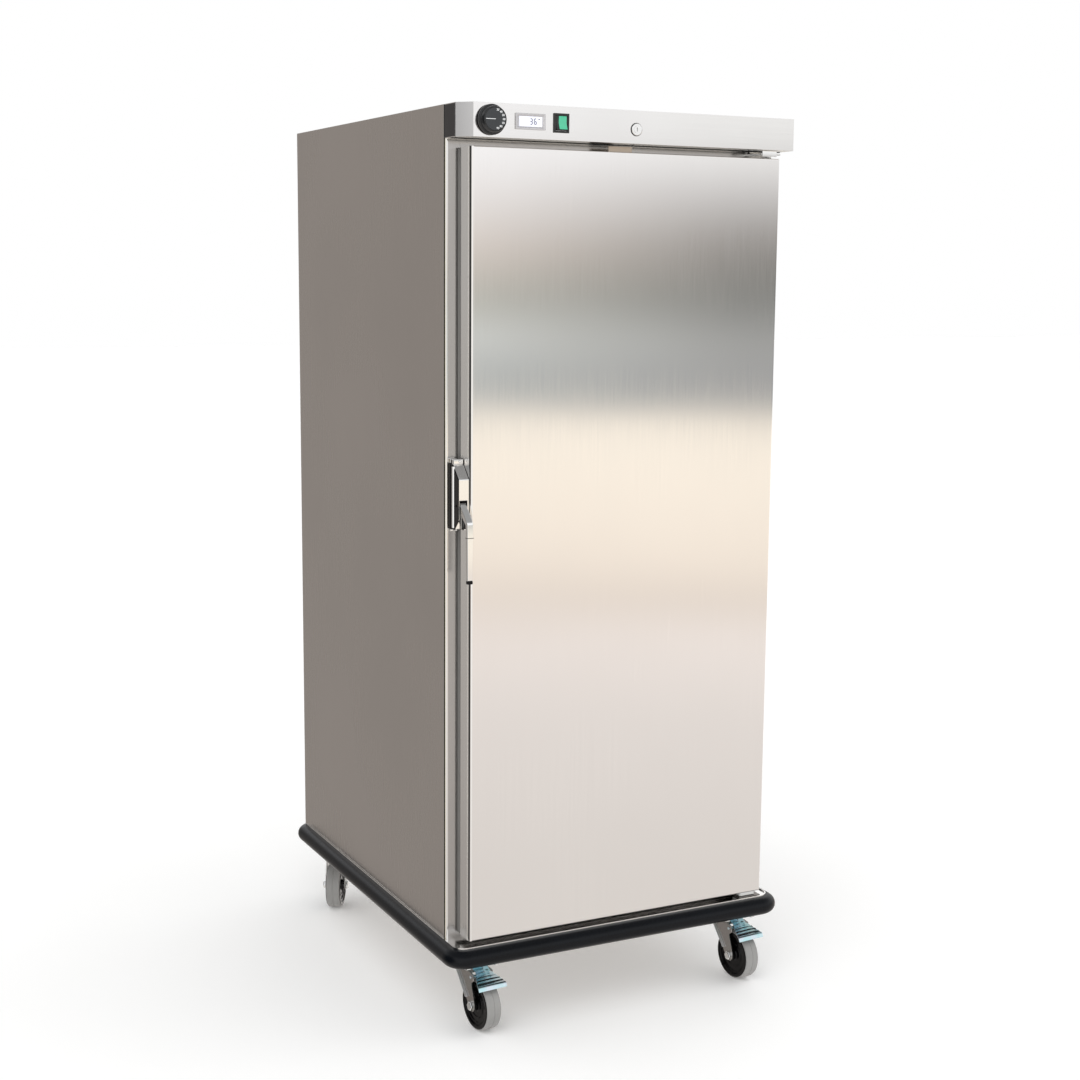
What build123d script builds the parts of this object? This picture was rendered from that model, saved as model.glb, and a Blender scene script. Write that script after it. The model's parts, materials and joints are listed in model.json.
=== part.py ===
"""Single-door proofing cabinet on castors: sheet-metal body, foamed door, control fascia and tray rack.

Origin on the floor, under the middle of the outer box. +X is the hinge side, +Y the back, +Z up. Millimetres.
"""
from build123d import *
import os
from math import cos, radians, sin, sqrt

# ---- body ----
BASE_Y = 4.0                        # middle of the chassis; the dial stands that much further out in front
BODY_W = 706.0
BODY_D = 805.0
BODY_H = 1570.0
BODY_Z = 176.0                      # underside of the body above the floor
FACE_Y = BASE_Y - 373.0             # front face of the body
BODY_X = BODY_W / 2                 # the sides are at -BODY_X and +BODY_X
BACK_Y = FACE_Y + BODY_D
TOP_Z = BODY_Z + BODY_H
SHEET = 1.5                         # outer sheet
BEND_R = 3.5                        # outside radius of the folded corners
FACE_RETURN = 30.0                  # width of the side panels' front folds
GAP = 0.2                           # slack between neighbouring sheets

# ---- chamber ----
CAVITY_LEFT = -BODY_X + 50.0
CAVITY_RIGHT = BODY_X - 58.0
CAVITY_BOTTOM = BODY_Z + 32.0
CAVITY_TOP = TOP_Z - 97.0
CAVITY_BACK = BACK_Y - 65.0
LINER = 1.2
FRAME_RETURN = 25.0                 # depth of the opening's folded edge

# ---- base and bumper ----
BUMPER_W = 751.2
BUMPER_D = 912.0
BUMPER_H = 35.2
BUMPER_T = 28.6                     # thickness of the rubber, front to back
BUMPER_CORNER = 44.0
BASE_H = 40.0
SKIRT_T = 2.0
FLANGE_EDGE = 20.1                  # the base flange stops this far inside the bumper's outline
FLANGE_CORNER = 24.0
HEM_T = 1.8                         # the flange's outer rim, hemmed upwards
HEM_H = 2.4

# ---- door ----
DOOR_LEFT = -BODY_X + 27.0
DOOR_RIGHT = BODY_X - 16.0
DOOR_BOTTOM = BODY_Z + 10.7
DOOR_TOP = TOP_Z - 75.0
DOOR_FRONT = FACE_Y - 54.6
DOOR_BACK = FACE_Y - 10.0
DOOR_SHEET = 1.2
GASKET_W = 17.0
GASKET_GAP = 0.4
HINGE_X = BODY_X - 39.0
HINGE_Y = FACE_Y - 37.0
PIN_R = 4.0
BUSH_R = 7.0
RUN_FIT = 0.05                      # radial clearance of a turning fit
CLEAR = 0.3                         # gap between pieces that move past each other

# ---- fascia ----
FASCIA_DEPTH = 71.0
FASCIA_H = 60.5
FASCIA_CHAMFER = 24.5
FASCIA_Y = FACE_Y - FASCIA_DEPTH
FASCIA_Z = TOP_Z - FASCIA_H
CONTROL_Z = TOP_Z - 30.0            # middle line of dial, display and switch
DIAL_X = -BODY_X + 58.0
DIAL_R = 27.0
DIAL_FACE_R = 22.5
DIAL_H = 20.0
DISPLAY_X = -BODY_X + 136.0
DISPLAY_W = 60.0
DISPLAY_H = 28.5
WINDOW_W = 46.0
WINDOW_H = 18.0
SWITCH_X = -BODY_X + 198.6
SWITCH_W = 31.5
SWITCH_H = 34.5
ROCKER_W = 22.0
ROCKER_H = 27.0
ROCKER_TILT = 9.0
LOCK_X = -BODY_X + 355.6
LOCK_Z = TOP_Z - 34.6
LOCK_R = 11.0
PLUG_R = 6.5
CAM_LENGTH = 34.0
CAM_T = 3.0

# ---- mains inlet ----
INLET_X = BODY_X - 120.0
INLET_Z = TOP_Z - 48.0
INLET_W = 50.0
INLET_H = 30.0
INLET_BODY_W = 29.0
INLET_BODY_H = 21.0
INLET_BLADE_PITCH = 7.0

# ---- latch ----
LATCH_X0 = -BODY_X + 5.0
LATCH_X1 = DOOR_LEFT
LATCH_BOTTOM = BODY_Z + 801.7
LATCH_TOP = BODY_Z + 932.4
LATCH_FRONT = FACE_Y - 50.0
LEVER_PIN_Y = FACE_Y - 41.0
LEVER_PIN_Z = BODY_Z + 848.0
LEVER_KNEE_Y = FACE_Y - 77.0
LEVER_KNEE_Z = BODY_Z + 819.0
LEVER_END_Z = BODY_Z + 707.0
LEVER_W = 13.0
CHEEK = 3.4

# ---- rack ----
TIERS = 11
TIER_PITCH = 120.0
FIRST_TIER_Z = CAVITY_BOTTOM + 118.0
POST_W = 18.0
POST_D = 25.0
LEDGE_LEG = 25.0
LEDGE_SHELF = 22.0
LEDGE_FRONT = FACE_Y + 25.0
LEDGE_LENGTH = 640.0

# ---- heating and air ----
FAN_Z = BODY_Z + 1290.0
FAN_R = 78.0
FAN_Y = CAVITY_BACK - 38.0          # middle plane of the blades
MOTOR_R = 30.0
PAN_L = 325.0
PAN_W = 530.0
PAN_H = 65.0
PAN_FRONT = FACE_Y + 60.0
HEATER_R = 4.2

# ---- castors ----
CASTOR_X = 294.0
CASTOR_Y = 373.0
WHEEL_R = 50.0
TYRE_W = 32.0
TYRE_INNER_R = 45.0
HUB_RIM_T = 4.0                     # width of the hub's raised rim
HUB_WEB = 12.4                      # face of the hub's web from the wheel's middle plane
HUB_BOSS_R = 11.0
TRAIL = 36.0                        # swivel axis to axle
PLATE_W = 80.0
PLATE_D = 104.0
PLATE_T = 3.5
PLATE_Z = BODY_Z - BASE_H           # top of the castor plates
BOLT_PITCH_X = 60.0
BOLT_PITCH_Y = 84.0
BOLT_R = 4.0
KING_R = 6.0
FORK_T = 3.0
FORK_OUTER = 23.0                   # outside of a fork leg from the wheel's middle plane
CROWN_Z = 113.0
AXLE_R = 5.0
PEDAL_W = 62.0                      # across the lip
PEDAL_ROOT_W = 32.0                 # across the pin
PEDAL_PIN_Y = -33.0
PEDAL_PIN_Z = 107.0
PEDAL_PIN_R = 3.0
CASTORS = {
    "front_left": (-CASTOR_X, BASE_Y - CASTOR_Y, 5.0, True),
    "front_right": (CASTOR_X, BASE_Y - CASTOR_Y, 5.0, True),
    "rear_left": (-CASTOR_X, BASE_Y + CASTOR_Y, -30.0, False),
    "rear_right": (CASTOR_X, BASE_Y + CASTOR_Y, -18.0, False),
}


# ================================================================ shared shapes
def block(x0, x1, y0, y1, z0, z1):
    """Box between two opposite corners."""
    return Pos((x0 + x1) / 2, (y0 + y1) / 2, (z0 + z1) / 2) * Box(x1 - x0, y1 - y0, z1 - z0)


def rod_z(x, y, z0, z1, radius):
    """Upright cylinder from z0 to z1."""
    return Pos(x, y, (z0 + z1) / 2) * Cylinder(radius, z1 - z0)


def rod_y(x, z, y0, y1, radius):
    """Cylinder along Y from y0 to y1."""
    return Pos(x, (y0 + y1) / 2, z) * Rot(90, 0, 0) * Cylinder(radius, y1 - y0)


def rod_x(y, z, x0, x1, radius):
    """Cylinder along X from x0 to x1."""
    return Pos((x0 + x1) / 2, y, z) * Rot(0, 90, 0) * Cylinder(radius, x1 - x0)


def plan_slab(width, depth, corner, z0, z1):
    """Rounded rectangle about the chassis' middle, between two heights."""
    return extrude(Pos(0, BASE_Y, z0) * RectangleRounded(width, depth, corner), z1 - z0)


def side_profile(points, x0, x1):
    """Closed outline of (y, z) points, between two places along X."""
    outline = make_face(Polyline(*[(0, y, z) for y, z in points], close=True))
    return Pos(x0, 0, 0) * extrude(outline, x1 - x0, dir=(1, 0, 0))


def hexagon(across_flats, height):
    """Hexagonal prism standing on the XY plane."""
    return extrude(RegularPolygon(across_flats / 2, 6, major_radius=False), height)


# ================================================================ base
def base_frame():
    """Closed sheet chassis: hemmed flange on top, skirt behind the bumper, plate below."""
    skirt_w = BUMPER_W - 2 * BUMPER_T
    skirt_d = BUMPER_D - 2 * BUMPER_T
    skirt_corner = BUMPER_CORNER - BUMPER_T
    flange_w = BUMPER_W - 2 * FLANGE_EDGE
    flange_d = BUMPER_D - 2 * FLANGE_EDGE
    flange = plan_slab(flange_w, flange_d, FLANGE_CORNER, BODY_Z - SHEET, BODY_Z + HEM_H)
    flange -= plan_slab(
        flange_w - 2 * HEM_T, flange_d - 2 * HEM_T, FLANGE_CORNER - HEM_T, BODY_Z, BODY_Z + HEM_H
    )
    side = BODY_X + GAP
    flange -= block(-side, side, FACE_Y - GAP, BACK_Y + GAP, BODY_Z, BODY_Z + HEM_H)
    box = plan_slab(skirt_w, skirt_d, skirt_corner, PLATE_Z, BODY_Z - SHEET)
    hollow = plan_slab(
        skirt_w - 2 * SKIRT_T, skirt_d - 2 * SKIRT_T, skirt_corner - SKIRT_T, PLATE_Z + 3, BODY_Z - SHEET
    )
    frame = flange + box - hollow
    for x, y, _, _ in CASTORS.values():
        for bx, by in bolt_places():
            frame -= rod_z(x + bx, y + by, PLATE_Z - 1, PLATE_Z + 4, BOLT_R + CLEAR)
    return frame


def bumper():
    """Half-round rubber rail that runs all round the chassis."""
    top = BODY_Z - SHEET - 0.1
    rail = plan_slab(BUMPER_W, BUMPER_D, BUMPER_CORNER, top - BUMPER_H, top)
    rims = rail.edges().filter_by_position(Axis.Z, top, top) + rail.edges().filter_by_position(
        Axis.Z, top - BUMPER_H, top - BUMPER_H
    )
    rail = fillet(rims, BUMPER_H / 2 - 0.05)
    inner = plan_slab(
        BUMPER_W - 2 * BUMPER_T, BUMPER_D - 2 * BUMPER_T, BUMPER_CORNER - BUMPER_T, top - 40, top + 1
    )
    return rail - inner


# ================================================================ body shell
def side_panel(side):
    """Outer side sheet with its front edge folded in to make the face strip."""
    edge = side * BODY_X
    inner = side * (BODY_X - SHEET)
    fold = side * (BODY_X - FACE_RETURN)
    sheet = block(min(edge, inner), max(edge, inner), FACE_Y, BACK_Y, BODY_Z, TOP_Z)
    strip = block(min(edge, fold), max(edge, fold), FACE_Y, FACE_Y + SHEET, BODY_Z, TOP_Z)
    panel = sheet + strip
    corner = panel.edges().filter_by(Axis.Z).sort_by_distance((edge, FACE_Y, TOP_Z / 2))[0]
    return fillet(corner, BEND_R)


def back_panel():
    """Rear sheet between the side panels, with a hole for the mains inlet."""
    x = BODY_X - SHEET - GAP
    sheet = block(-x, x, BACK_Y - SHEET, BACK_Y, BODY_Z, TOP_Z - SHEET - GAP)
    return sheet - inlet_hole()


def top_panel():
    """Roof sheet between the side panels."""
    x = BODY_X - SHEET - GAP
    return block(-x, x, FACE_Y + SHEET + GAP, BACK_Y, TOP_Z - SHEET, TOP_Z)


def front_frame():
    """Face of the body round the chamber mouth, its inner edge folded back."""
    x = BODY_X - FACE_RETURN - GAP
    frame = block(-x, x, FACE_Y, FACE_Y + SHEET, BODY_Z, TOP_Z)
    frame += block(
        CAVITY_LEFT - SHEET, CAVITY_RIGHT + SHEET, FACE_Y, FACE_Y + FRAME_RETURN,
        CAVITY_BOTTOM - SHEET, CAVITY_TOP + SHEET,
    )
    return frame - block(
        CAVITY_LEFT, CAVITY_RIGHT, FACE_Y - 1, FACE_Y + FRAME_RETURN + 1, CAVITY_BOTTOM, CAVITY_TOP
    )


def inner_liner():
    """Chamber walls, floor and roof, open at the front."""
    front = FACE_Y + FRAME_RETURN + GAP
    outer = block(
        CAVITY_LEFT - LINER, CAVITY_RIGHT + LINER, front, CAVITY_BACK + LINER,
        CAVITY_BOTTOM - LINER, CAVITY_TOP + LINER,
    )
    return outer - block(
        CAVITY_LEFT, CAVITY_RIGHT, front - 1, CAVITY_BACK, CAVITY_BOTTOM, CAVITY_TOP
    )


def insulation():
    """Mineral wool that fills the space between the outer sheets and the liner."""
    x = BODY_X - SHEET - GAP
    wool = block(-x, x, FACE_Y + SHEET + GAP, BACK_Y - SHEET - GAP, BODY_Z + GAP, TOP_Z - SHEET - GAP)
    slack = SHEET + GAP
    wool -= block(
        CAVITY_LEFT - slack, CAVITY_RIGHT + slack, FACE_Y, CAVITY_BACK + slack,
        CAVITY_BOTTOM - slack, CAVITY_TOP + slack,
    )
    return wool - inlet_pocket()


# ================================================================ mains inlet
def inlet_block(grown, y0, y1):
    """The inlet body's rectangle, grown on all four sides, between two depths."""
    half_w = INLET_BODY_W / 2 + grown
    half_h = INLET_BODY_H / 2 + grown
    return block(INLET_X - half_w, INLET_X + half_w, y0, y1, INLET_Z - half_h, INLET_Z + half_h)


def inlet_hole():
    """Cut-out in the rear sheet for the inlet's body."""
    return inlet_block(0.5, BACK_Y - 5, BACK_Y + 5)


def inlet_pocket():
    """Room for the inlet's body in the wool."""
    return inlet_block(3.5, BACK_Y - 40, BACK_Y)


def power_inlet():
    """Three-pin appliance inlet with its flange and blades."""
    flange = block(
        INLET_X - INLET_W / 2, INLET_X + INLET_W / 2, BACK_Y, BACK_Y + 3,
        INLET_Z - INLET_H / 2, INLET_Z + INLET_H / 2,
    )
    flange = fillet(flange.edges().filter_by(Axis.Y), 6)
    inlet = flange + inlet_block(0, BACK_Y - 28, BACK_Y + 1) - inlet_block(-2.5, BACK_Y - 16, BACK_Y + 4)
    for k in (-1, 0, 1):
        x = INLET_X + k * INLET_BLADE_PITCH
        inlet += block(x - 1, x + 1, BACK_Y - 17, BACK_Y - 1, INLET_Z - 3, INLET_Z + 3)
    return inlet


# ================================================================ fascia and controls
def fascia_plan(inset):
    """Outline of the fascia seen from above, set in by a wall thickness."""
    left = -BODY_X + inset
    right = BODY_X + 1 - inset
    front = FASCIA_Y + inset
    cut = FASCIA_CHAMFER - inset * (2 - sqrt(2))
    back = FACE_Y - GAP if inset == 0 else FACE_Y + 5
    points = [(left, back), (left, front + cut), (left + cut, front), (right, front), (right, back)]
    return make_face(Polyline(*points, close=True))


def fascia():
    """Folded control housing over the door, open to the body behind."""
    shell = extrude(Pos(0, 0, FASCIA_Z) * fascia_plan(0), FASCIA_H)
    shell -= extrude(Pos(0, 0, FASCIA_Z + SHEET) * fascia_plan(SHEET), FASCIA_H - 2 * SHEET)
    y0 = FASCIA_Y - 1
    y1 = FASCIA_Y + 5
    shell -= rod_y(DIAL_X, CONTROL_Z, y0, y1, 5)
    shell -= block(
        DISPLAY_X - 23.3, DISPLAY_X + 23.3, y0, y1, CONTROL_Z - 9.8, CONTROL_Z + 9.8
    )
    shell -= block(
        SWITCH_X - 13.3, SWITCH_X + 13.3, y0, y1, CONTROL_Z - 15.3, CONTROL_Z + 15.3
    )
    shell -= rod_y(LOCK_X, LOCK_Z, y0, y1, 9.2)
    return shell - cam_slot()


def cam_slot():
    """Slot in the fascia's underside that the lock's tongue swings down through."""
    return block(
        LOCK_X - 34, LOCK_X + 10, FACE_Y - 48, FACE_Y - 39, FASCIA_Z - 1, FASCIA_Z + SHEET + 1
    )


def thermostat_body():
    """Capillary thermostat's case behind the fascia, with its hollow mounting stem."""
    y0 = FASCIA_Y + SHEET + GAP
    case = block(DIAL_X - 20, DIAL_X + 20, y0, y0 + 36, CONTROL_Z - 24, CONTROL_Z + 20)
    case = fillet(case.edges().filter_by(Axis.Y), 3)
    case += rod_y(DIAL_X, CONTROL_Z, FASCIA_Y - 2, y0 + 1, 4.8)
    return case - rod_y(DIAL_X, CONTROL_Z, FASCIA_Y - 3, y0 + 20, 3 + RUN_FIT)


def thermostat_knob():
    """Tapered dial with a flat face and its spindle."""
    back = FASCIA_Y - 2.3
    front = FASCIA_Y - DIAL_H
    taper = loft([
        Plane(origin=(DIAL_X, back, CONTROL_Z), z_dir=(0, -1, 0)) * Circle(DIAL_R),
        Plane(origin=(DIAL_X, front, CONTROL_Z), z_dir=(0, -1, 0)) * Circle(DIAL_FACE_R),
    ])
    knob = fillet(taper.edges().filter_by_position(Axis.Y, front, front), 1.6)
    return knob + rod_y(DIAL_X, CONTROL_Z, back - 1, FASCIA_Y + 18, 3)


def display_housing():
    """Panel thermometer's frame and the box behind the fascia."""
    frame = block(
        DISPLAY_X - DISPLAY_W / 2, DISPLAY_X + DISPLAY_W / 2, FASCIA_Y - 3, FASCIA_Y,
        CONTROL_Z - DISPLAY_H / 2, CONTROL_Z + DISPLAY_H / 2,
    )
    frame = fillet(frame.edges().filter_by(Axis.Y), 2)
    frame = chamfer(frame.faces().sort_by(Axis.Y)[0].edges(), 1.2)
    frame += block(
        DISPLAY_X - 23, DISPLAY_X + 23, FASCIA_Y - 1, FASCIA_Y + 16, CONTROL_Z - 9.5, CONTROL_Z + 9.5
    )
    return frame - display_slab(0, FASCIA_Y - 4)


def display_slab(slack, front):
    """The display window's rectangle, shrunk by a slack, from a front plane to the well's floor."""
    half_w = WINDOW_W / 2 - slack
    half_h = WINDOW_H / 2 - slack
    return block(
        DISPLAY_X - half_w, DISPLAY_X + half_w, front, FASCIA_Y - 1.6, CONTROL_Z - half_h, CONTROL_Z + half_h
    )


def display_window():
    """Liquid-crystal pane, nearly flush in its frame."""
    return display_slab(0.1, FASCIA_Y - 2.6)


def switch_housing():
    """Rocker switch's collar and body; the rocker sits in its mouth."""
    collar = block(
        SWITCH_X - SWITCH_W / 2, SWITCH_X + SWITCH_W / 2, FASCIA_Y - 2.5, FASCIA_Y,
        CONTROL_Z - SWITCH_H / 2, CONTROL_Z + SWITCH_H / 2,
    )
    collar = fillet(collar.edges().filter_by(Axis.Y), 1.5)
    collar += block(
        SWITCH_X - 13, SWITCH_X + 13, FASCIA_Y - 1, FASCIA_Y + 26, CONTROL_Z - 15, CONTROL_Z + 15
    )
    mouth = block(
        SWITCH_X - ROCKER_W / 2 - CLEAR, SWITCH_X + ROCKER_W / 2 + CLEAR, FASCIA_Y - 4, FASCIA_Y + 14,
        CONTROL_Z - ROCKER_H / 2 - 0.8, CONTROL_Z + ROCKER_H / 2 + 0.8,
    )
    return collar - mouth


def switch_rocker():
    """Green rocker, a shallow V seen from the side, tipped to its off position."""
    half = ROCKER_H / 2
    outline = [(2.0, -half), (-5.0, -half), (-2.4, 0), (-5.0, half), (2.0, half), (9.0, 0)]
    body = side_profile(outline, -ROCKER_W / 2, ROCKER_W / 2)
    return Pos(SWITCH_X, FASCIA_Y + 1, CONTROL_Z) * Rot(-ROCKER_TILT, 0, 0) * body


def lock_barrel():
    """Cam lock's fixed sleeve, flange and nut."""
    barrel = rod_y(LOCK_X, LOCK_Z, FASCIA_Y - 3, FASCIA_Y, LOCK_R)
    barrel = fillet(barrel.edges().sort_by(Axis.Y)[0], 1.2)
    barrel += rod_y(LOCK_X, LOCK_Z, FASCIA_Y - 1, FASCIA_Y + 21, 9)
    barrel += Pos(LOCK_X, FASCIA_Y + 6.7, LOCK_Z) * Rot(90, 0, 0) * hexagon(24, 5)
    return barrel - rod_y(LOCK_X, LOCK_Z, FASCIA_Y - 4, FASCIA_Y + 22, PLUG_R + RUN_FIT)


def lock_plug():
    """Turning core with the keyway cut in its face."""
    plug = rod_y(LOCK_X, LOCK_Z, FASCIA_Y - 3.6, FASCIA_Y + 25, PLUG_R)
    return plug - block(
        LOCK_X - 0.9, LOCK_X + 0.9, FASCIA_Y - 5, FASCIA_Y + 8, LOCK_Z - 3.8, LOCK_Z + 3.8
    )


def lock_cam():
    """Flat tongue on the end of the core, pointing sideways when the door is free."""
    y0 = FASCIA_Y + 25
    y1 = y0 + CAM_T
    tongue = block(LOCK_X - CAM_LENGTH + 6, LOCK_X, y0, y1, LOCK_Z - 6, LOCK_Z + 6)
    tip = rod_y(LOCK_X - CAM_LENGTH + 6, LOCK_Z, y0, y1, 6)
    return tongue + tip + rod_y(LOCK_X, LOCK_Z, y0, y1, 8)


# ================================================================ door
def door_outer_skin():
    """Front sheet folded back on its four sides."""
    pan = block(DOOR_LEFT, DOOR_RIGHT, DOOR_FRONT, DOOR_BACK - DOOR_SHEET - GAP, DOOR_BOTTOM, DOOR_TOP)
    pan = fillet(pan.faces().sort_by(Axis.Y)[0].edges(), BEND_R)
    t = DOOR_SHEET
    pan -= block(
        DOOR_LEFT + t, DOOR_RIGHT - t, DOOR_FRONT + t, DOOR_BACK, DOOR_BOTTOM + t, DOOR_TOP - t
    )
    return pan - bush_bores()


def door_core():
    """Foam slab inside the door."""
    t = DOOR_SHEET + GAP
    foam = block(
        DOOR_LEFT + t, DOOR_RIGHT - t, DOOR_FRONT + t, DOOR_BACK - t, DOOR_BOTTOM + t, DOOR_TOP - t
    )
    foam = fillet(foam.faces().sort_by(Axis.Y)[0].edges(), BEND_R)
    return foam - bush_bores()


def door_inner_panel():
    """Flat lining that closes the back of the door."""
    return block(DOOR_LEFT, DOOR_RIGHT, DOOR_BACK - DOOR_SHEET, DOOR_BACK, DOOR_BOTTOM, DOOR_TOP)


def door_gasket():
    """Rubber seal round the back of the door; its hinge side stops at the hinge axis."""
    left = DOOR_LEFT - 1.5
    right = HINGE_X + 2
    bottom = DOOR_BOTTOM + 1.5
    top = DOOR_TOP - 1.5
    front = DOOR_BACK
    back = FACE_Y - GASKET_GAP
    ring = block(left, right, front, back, bottom, top)
    ring -= block(
        left + GASKET_W, right - GASKET_W, front - 1, back + 1, bottom + GASKET_W, top - GASKET_W
    )
    return fillet(ring.faces().sort_by(Axis.Y)[-1].edges(), 2)


def bush_bores():
    """Holes in the door's top and bottom for the hinge bushes."""
    bores = rod_z(HINGE_X, HINGE_Y, DOOR_TOP - 17, DOOR_TOP + 1, BUSH_R + RUN_FIT)
    return bores + rod_z(HINGE_X, HINGE_Y, DOOR_BOTTOM - 1, DOOR_BOTTOM + 17, BUSH_R + RUN_FIT)


def hinge_bushes():
    """Nylon bearings in the door: a flanged one above, a block below that carries the door."""
    upper = rod_z(HINGE_X, HINGE_Y, DOOR_TOP - 16, DOOR_TOP + 1, BUSH_R)
    upper += rod_z(HINGE_X, HINGE_Y, DOOR_TOP, DOOR_TOP + 2.5, 10)
    upper -= rod_z(HINGE_X, HINGE_Y, DOOR_TOP - 17, DOOR_TOP + 4, PIN_R + RUN_FIT)
    foot = DOOR_BOTTOM - 7
    lower = block(HINGE_X - 27, HINGE_X + 11, HINGE_Y - 15, HINGE_Y + 14, foot, DOOR_BOTTOM)
    lower = fillet(lower.edges().filter_by(Axis.Z), 5)
    lower += rod_z(HINGE_X, HINGE_Y, DOOR_BOTTOM - 1, DOOR_BOTTOM + 16, BUSH_R)
    lower -= rod_z(HINGE_X, HINGE_Y, foot - 1, DOOR_BOTTOM + 17, PIN_R + RUN_FIT)
    return [upper, lower]


def hinge_brackets():
    """Plates on the body that hold the door's two pins."""
    z = DOOR_TOP + 6.5
    upper = block(HINGE_X - 22, HINGE_X + 22, HINGE_Y - 17, FACE_Y - GAP, z, z + 3.5)
    upper += block(HINGE_X - 22, HINGE_X + 22, FACE_Y - 3, FACE_Y - GAP, z, FASCIA_Z - GAP)
    upper += block(HINGE_X - 21, HINGE_X + 12, HINGE_Y - 19, HINGE_Y - 16, z - 3.4, FASCIA_Z - GAP)
    lower = block(HINGE_X - 30, HINGE_X + 20, HINGE_Y - 20, FACE_Y - GAP, BODY_Z, BODY_Z + 3)
    lower += block(HINGE_X - 30, HINGE_X + 20, FACE_Y - 3, FACE_Y - GAP, BODY_Z, DOOR_BOTTOM - 1)
    brackets = []
    for bracket in (upper, lower):
        brackets.append(bracket - rod_z(HINGE_X, HINGE_Y, BODY_Z - 1, TOP_Z, PIN_R))
    return brackets


def hinge_pins():
    """Two steel pins on one vertical axis, each with a head in its bracket."""
    z = DOOR_TOP + 10
    upper = rod_z(HINGE_X, HINGE_Y, DOOR_TOP - 14, z + 1, PIN_R)
    upper += rod_z(HINGE_X, HINGE_Y, z, z + 3, 6.5)
    lower = rod_z(HINGE_X, HINGE_Y, BODY_Z, DOOR_BOTTOM + 14, PIN_R)
    return [upper, lower]


def lock_keeper():
    """Angle on the door's top edge that the lock's tongue blocks."""
    foot = block(LOCK_X - 40, LOCK_X + 10, FACE_Y - 38, FACE_Y - 20, DOOR_TOP, DOOR_TOP + 1.5)
    stand = block(LOCK_X - 40, LOCK_X + 10, FACE_Y - 38, FACE_Y - 36, DOOR_TOP, DOOR_TOP + 11)
    return foot + stand


# ================================================================ latch
def latch_case():
    """Die-cast case on the door's edge; its cheeks straddle the lever."""
    back = FACE_Y - 17.5
    outline = [
        (back, LATCH_BOTTOM), (back, LATCH_TOP), (back - 6, LATCH_TOP),
        (LATCH_FRONT, LATCH_TOP - 35.5), (LATCH_FRONT, LATCH_BOTTOM + 20), (LATCH_FRONT + 11, LATCH_BOTTOM),
    ]
    case = side_profile(outline, LATCH_X0, LATCH_X1)
    case -= block(
        LATCH_X0 + CHEEK, LATCH_X1 - CHEEK - 1.3, LATCH_FRONT - 5, FACE_Y - 28,
        LATCH_BOTTOM - 1, LEVER_PIN_Z + 14.5,
    )
    return case - rod_x(LEVER_PIN_Y, LEVER_PIN_Z, LATCH_X0 - 1, LATCH_X1 - 1, 2.5)


def latch_pin():
    """Pin that the lever turns on, riveted in the case."""
    return rod_x(LEVER_PIN_Y, LEVER_PIN_Z, LATCH_X0, LATCH_X1 - 1, 2.5)


def latch_lever():
    """Long hanging lever: boss on the pin, sloping arm and straight grip."""
    middle = (LATCH_X0 + LATCH_X1) / 2 - 0.6
    x0 = middle - LEVER_W / 2
    x1 = middle + LEVER_W / 2
    arm = [
        (LEVER_PIN_Y, LEVER_PIN_Z + 8), (LEVER_PIN_Y - 7, LEVER_PIN_Z + 6),
        (LEVER_KNEE_Y - 4.5, LEVER_KNEE_Z + 3), (LEVER_KNEE_Y - 4.5, LEVER_END_Z),
        (LEVER_KNEE_Y + 4.5, LEVER_END_Z), (LEVER_KNEE_Y + 4.5, LEVER_KNEE_Z - 4),
        (LEVER_PIN_Y - 3, LEVER_PIN_Z - 8),
    ]
    lever = side_profile(arm, x0, x1) + rod_x(LEVER_PIN_Y, LEVER_PIN_Z, x0, x1, 8)
    return lever - rod_x(LEVER_PIN_Y, LEVER_PIN_Z, x0 - 1, x1 + 1, 2.5 + RUN_FIT)


def latch_strike():
    """Strike on the face strip that the closed latch bears against."""
    strike = block(
        LATCH_X0, LATCH_X0 + 19.5, FACE_Y - 15, FACE_Y - GAP, LATCH_BOTTOM, LATCH_TOP
    )
    return fillet(strike.faces().sort_by(Axis.Y)[0].edges(), 2)


# ================================================================ rack
def rack_posts():
    """Six hollow uprights, three on each wall of the chamber."""
    posts = []
    for x0 in (CAVITY_LEFT, CAVITY_RIGHT - POST_W):
        for y in (LEDGE_FRONT + 30, LEDGE_FRONT + LEDGE_LENGTH / 2, LEDGE_FRONT + LEDGE_LENGTH - 30):
            post = block(
                x0, x0 + POST_W, y - POST_D / 2, y + POST_D / 2, CAVITY_BOTTOM, CAVITY_TOP
            )
            bore = block(
                x0 + SHEET, x0 + POST_W - SHEET, y - POST_D / 2 + SHEET, y + POST_D / 2 - SHEET,
                CAVITY_BOTTOM - 1, CAVITY_TOP + 1,
            )
            posts.append(post - bore)
    return posts


def tray_ledges():
    """Pairs of angle ledges that the trays slide on, one pair for each tier."""
    ledges = []
    y1 = LEDGE_FRONT + LEDGE_LENGTH
    for tier in range(TIERS):
        z = FIRST_TIER_Z + tier * TIER_PITCH
        for wall, inward in ((CAVITY_LEFT + POST_W, 1), (CAVITY_RIGHT - POST_W, -1)):
            leg = sorted((wall, wall + inward * SHEET))
            shelf = sorted((wall, wall + inward * LEDGE_SHELF))
            ledge = block(*leg, LEDGE_FRONT, y1, z - LEDGE_LEG, z)
            ledges.append(ledge + block(*shelf, LEDGE_FRONT, y1, z - SHEET, z))
    return ledges


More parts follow.
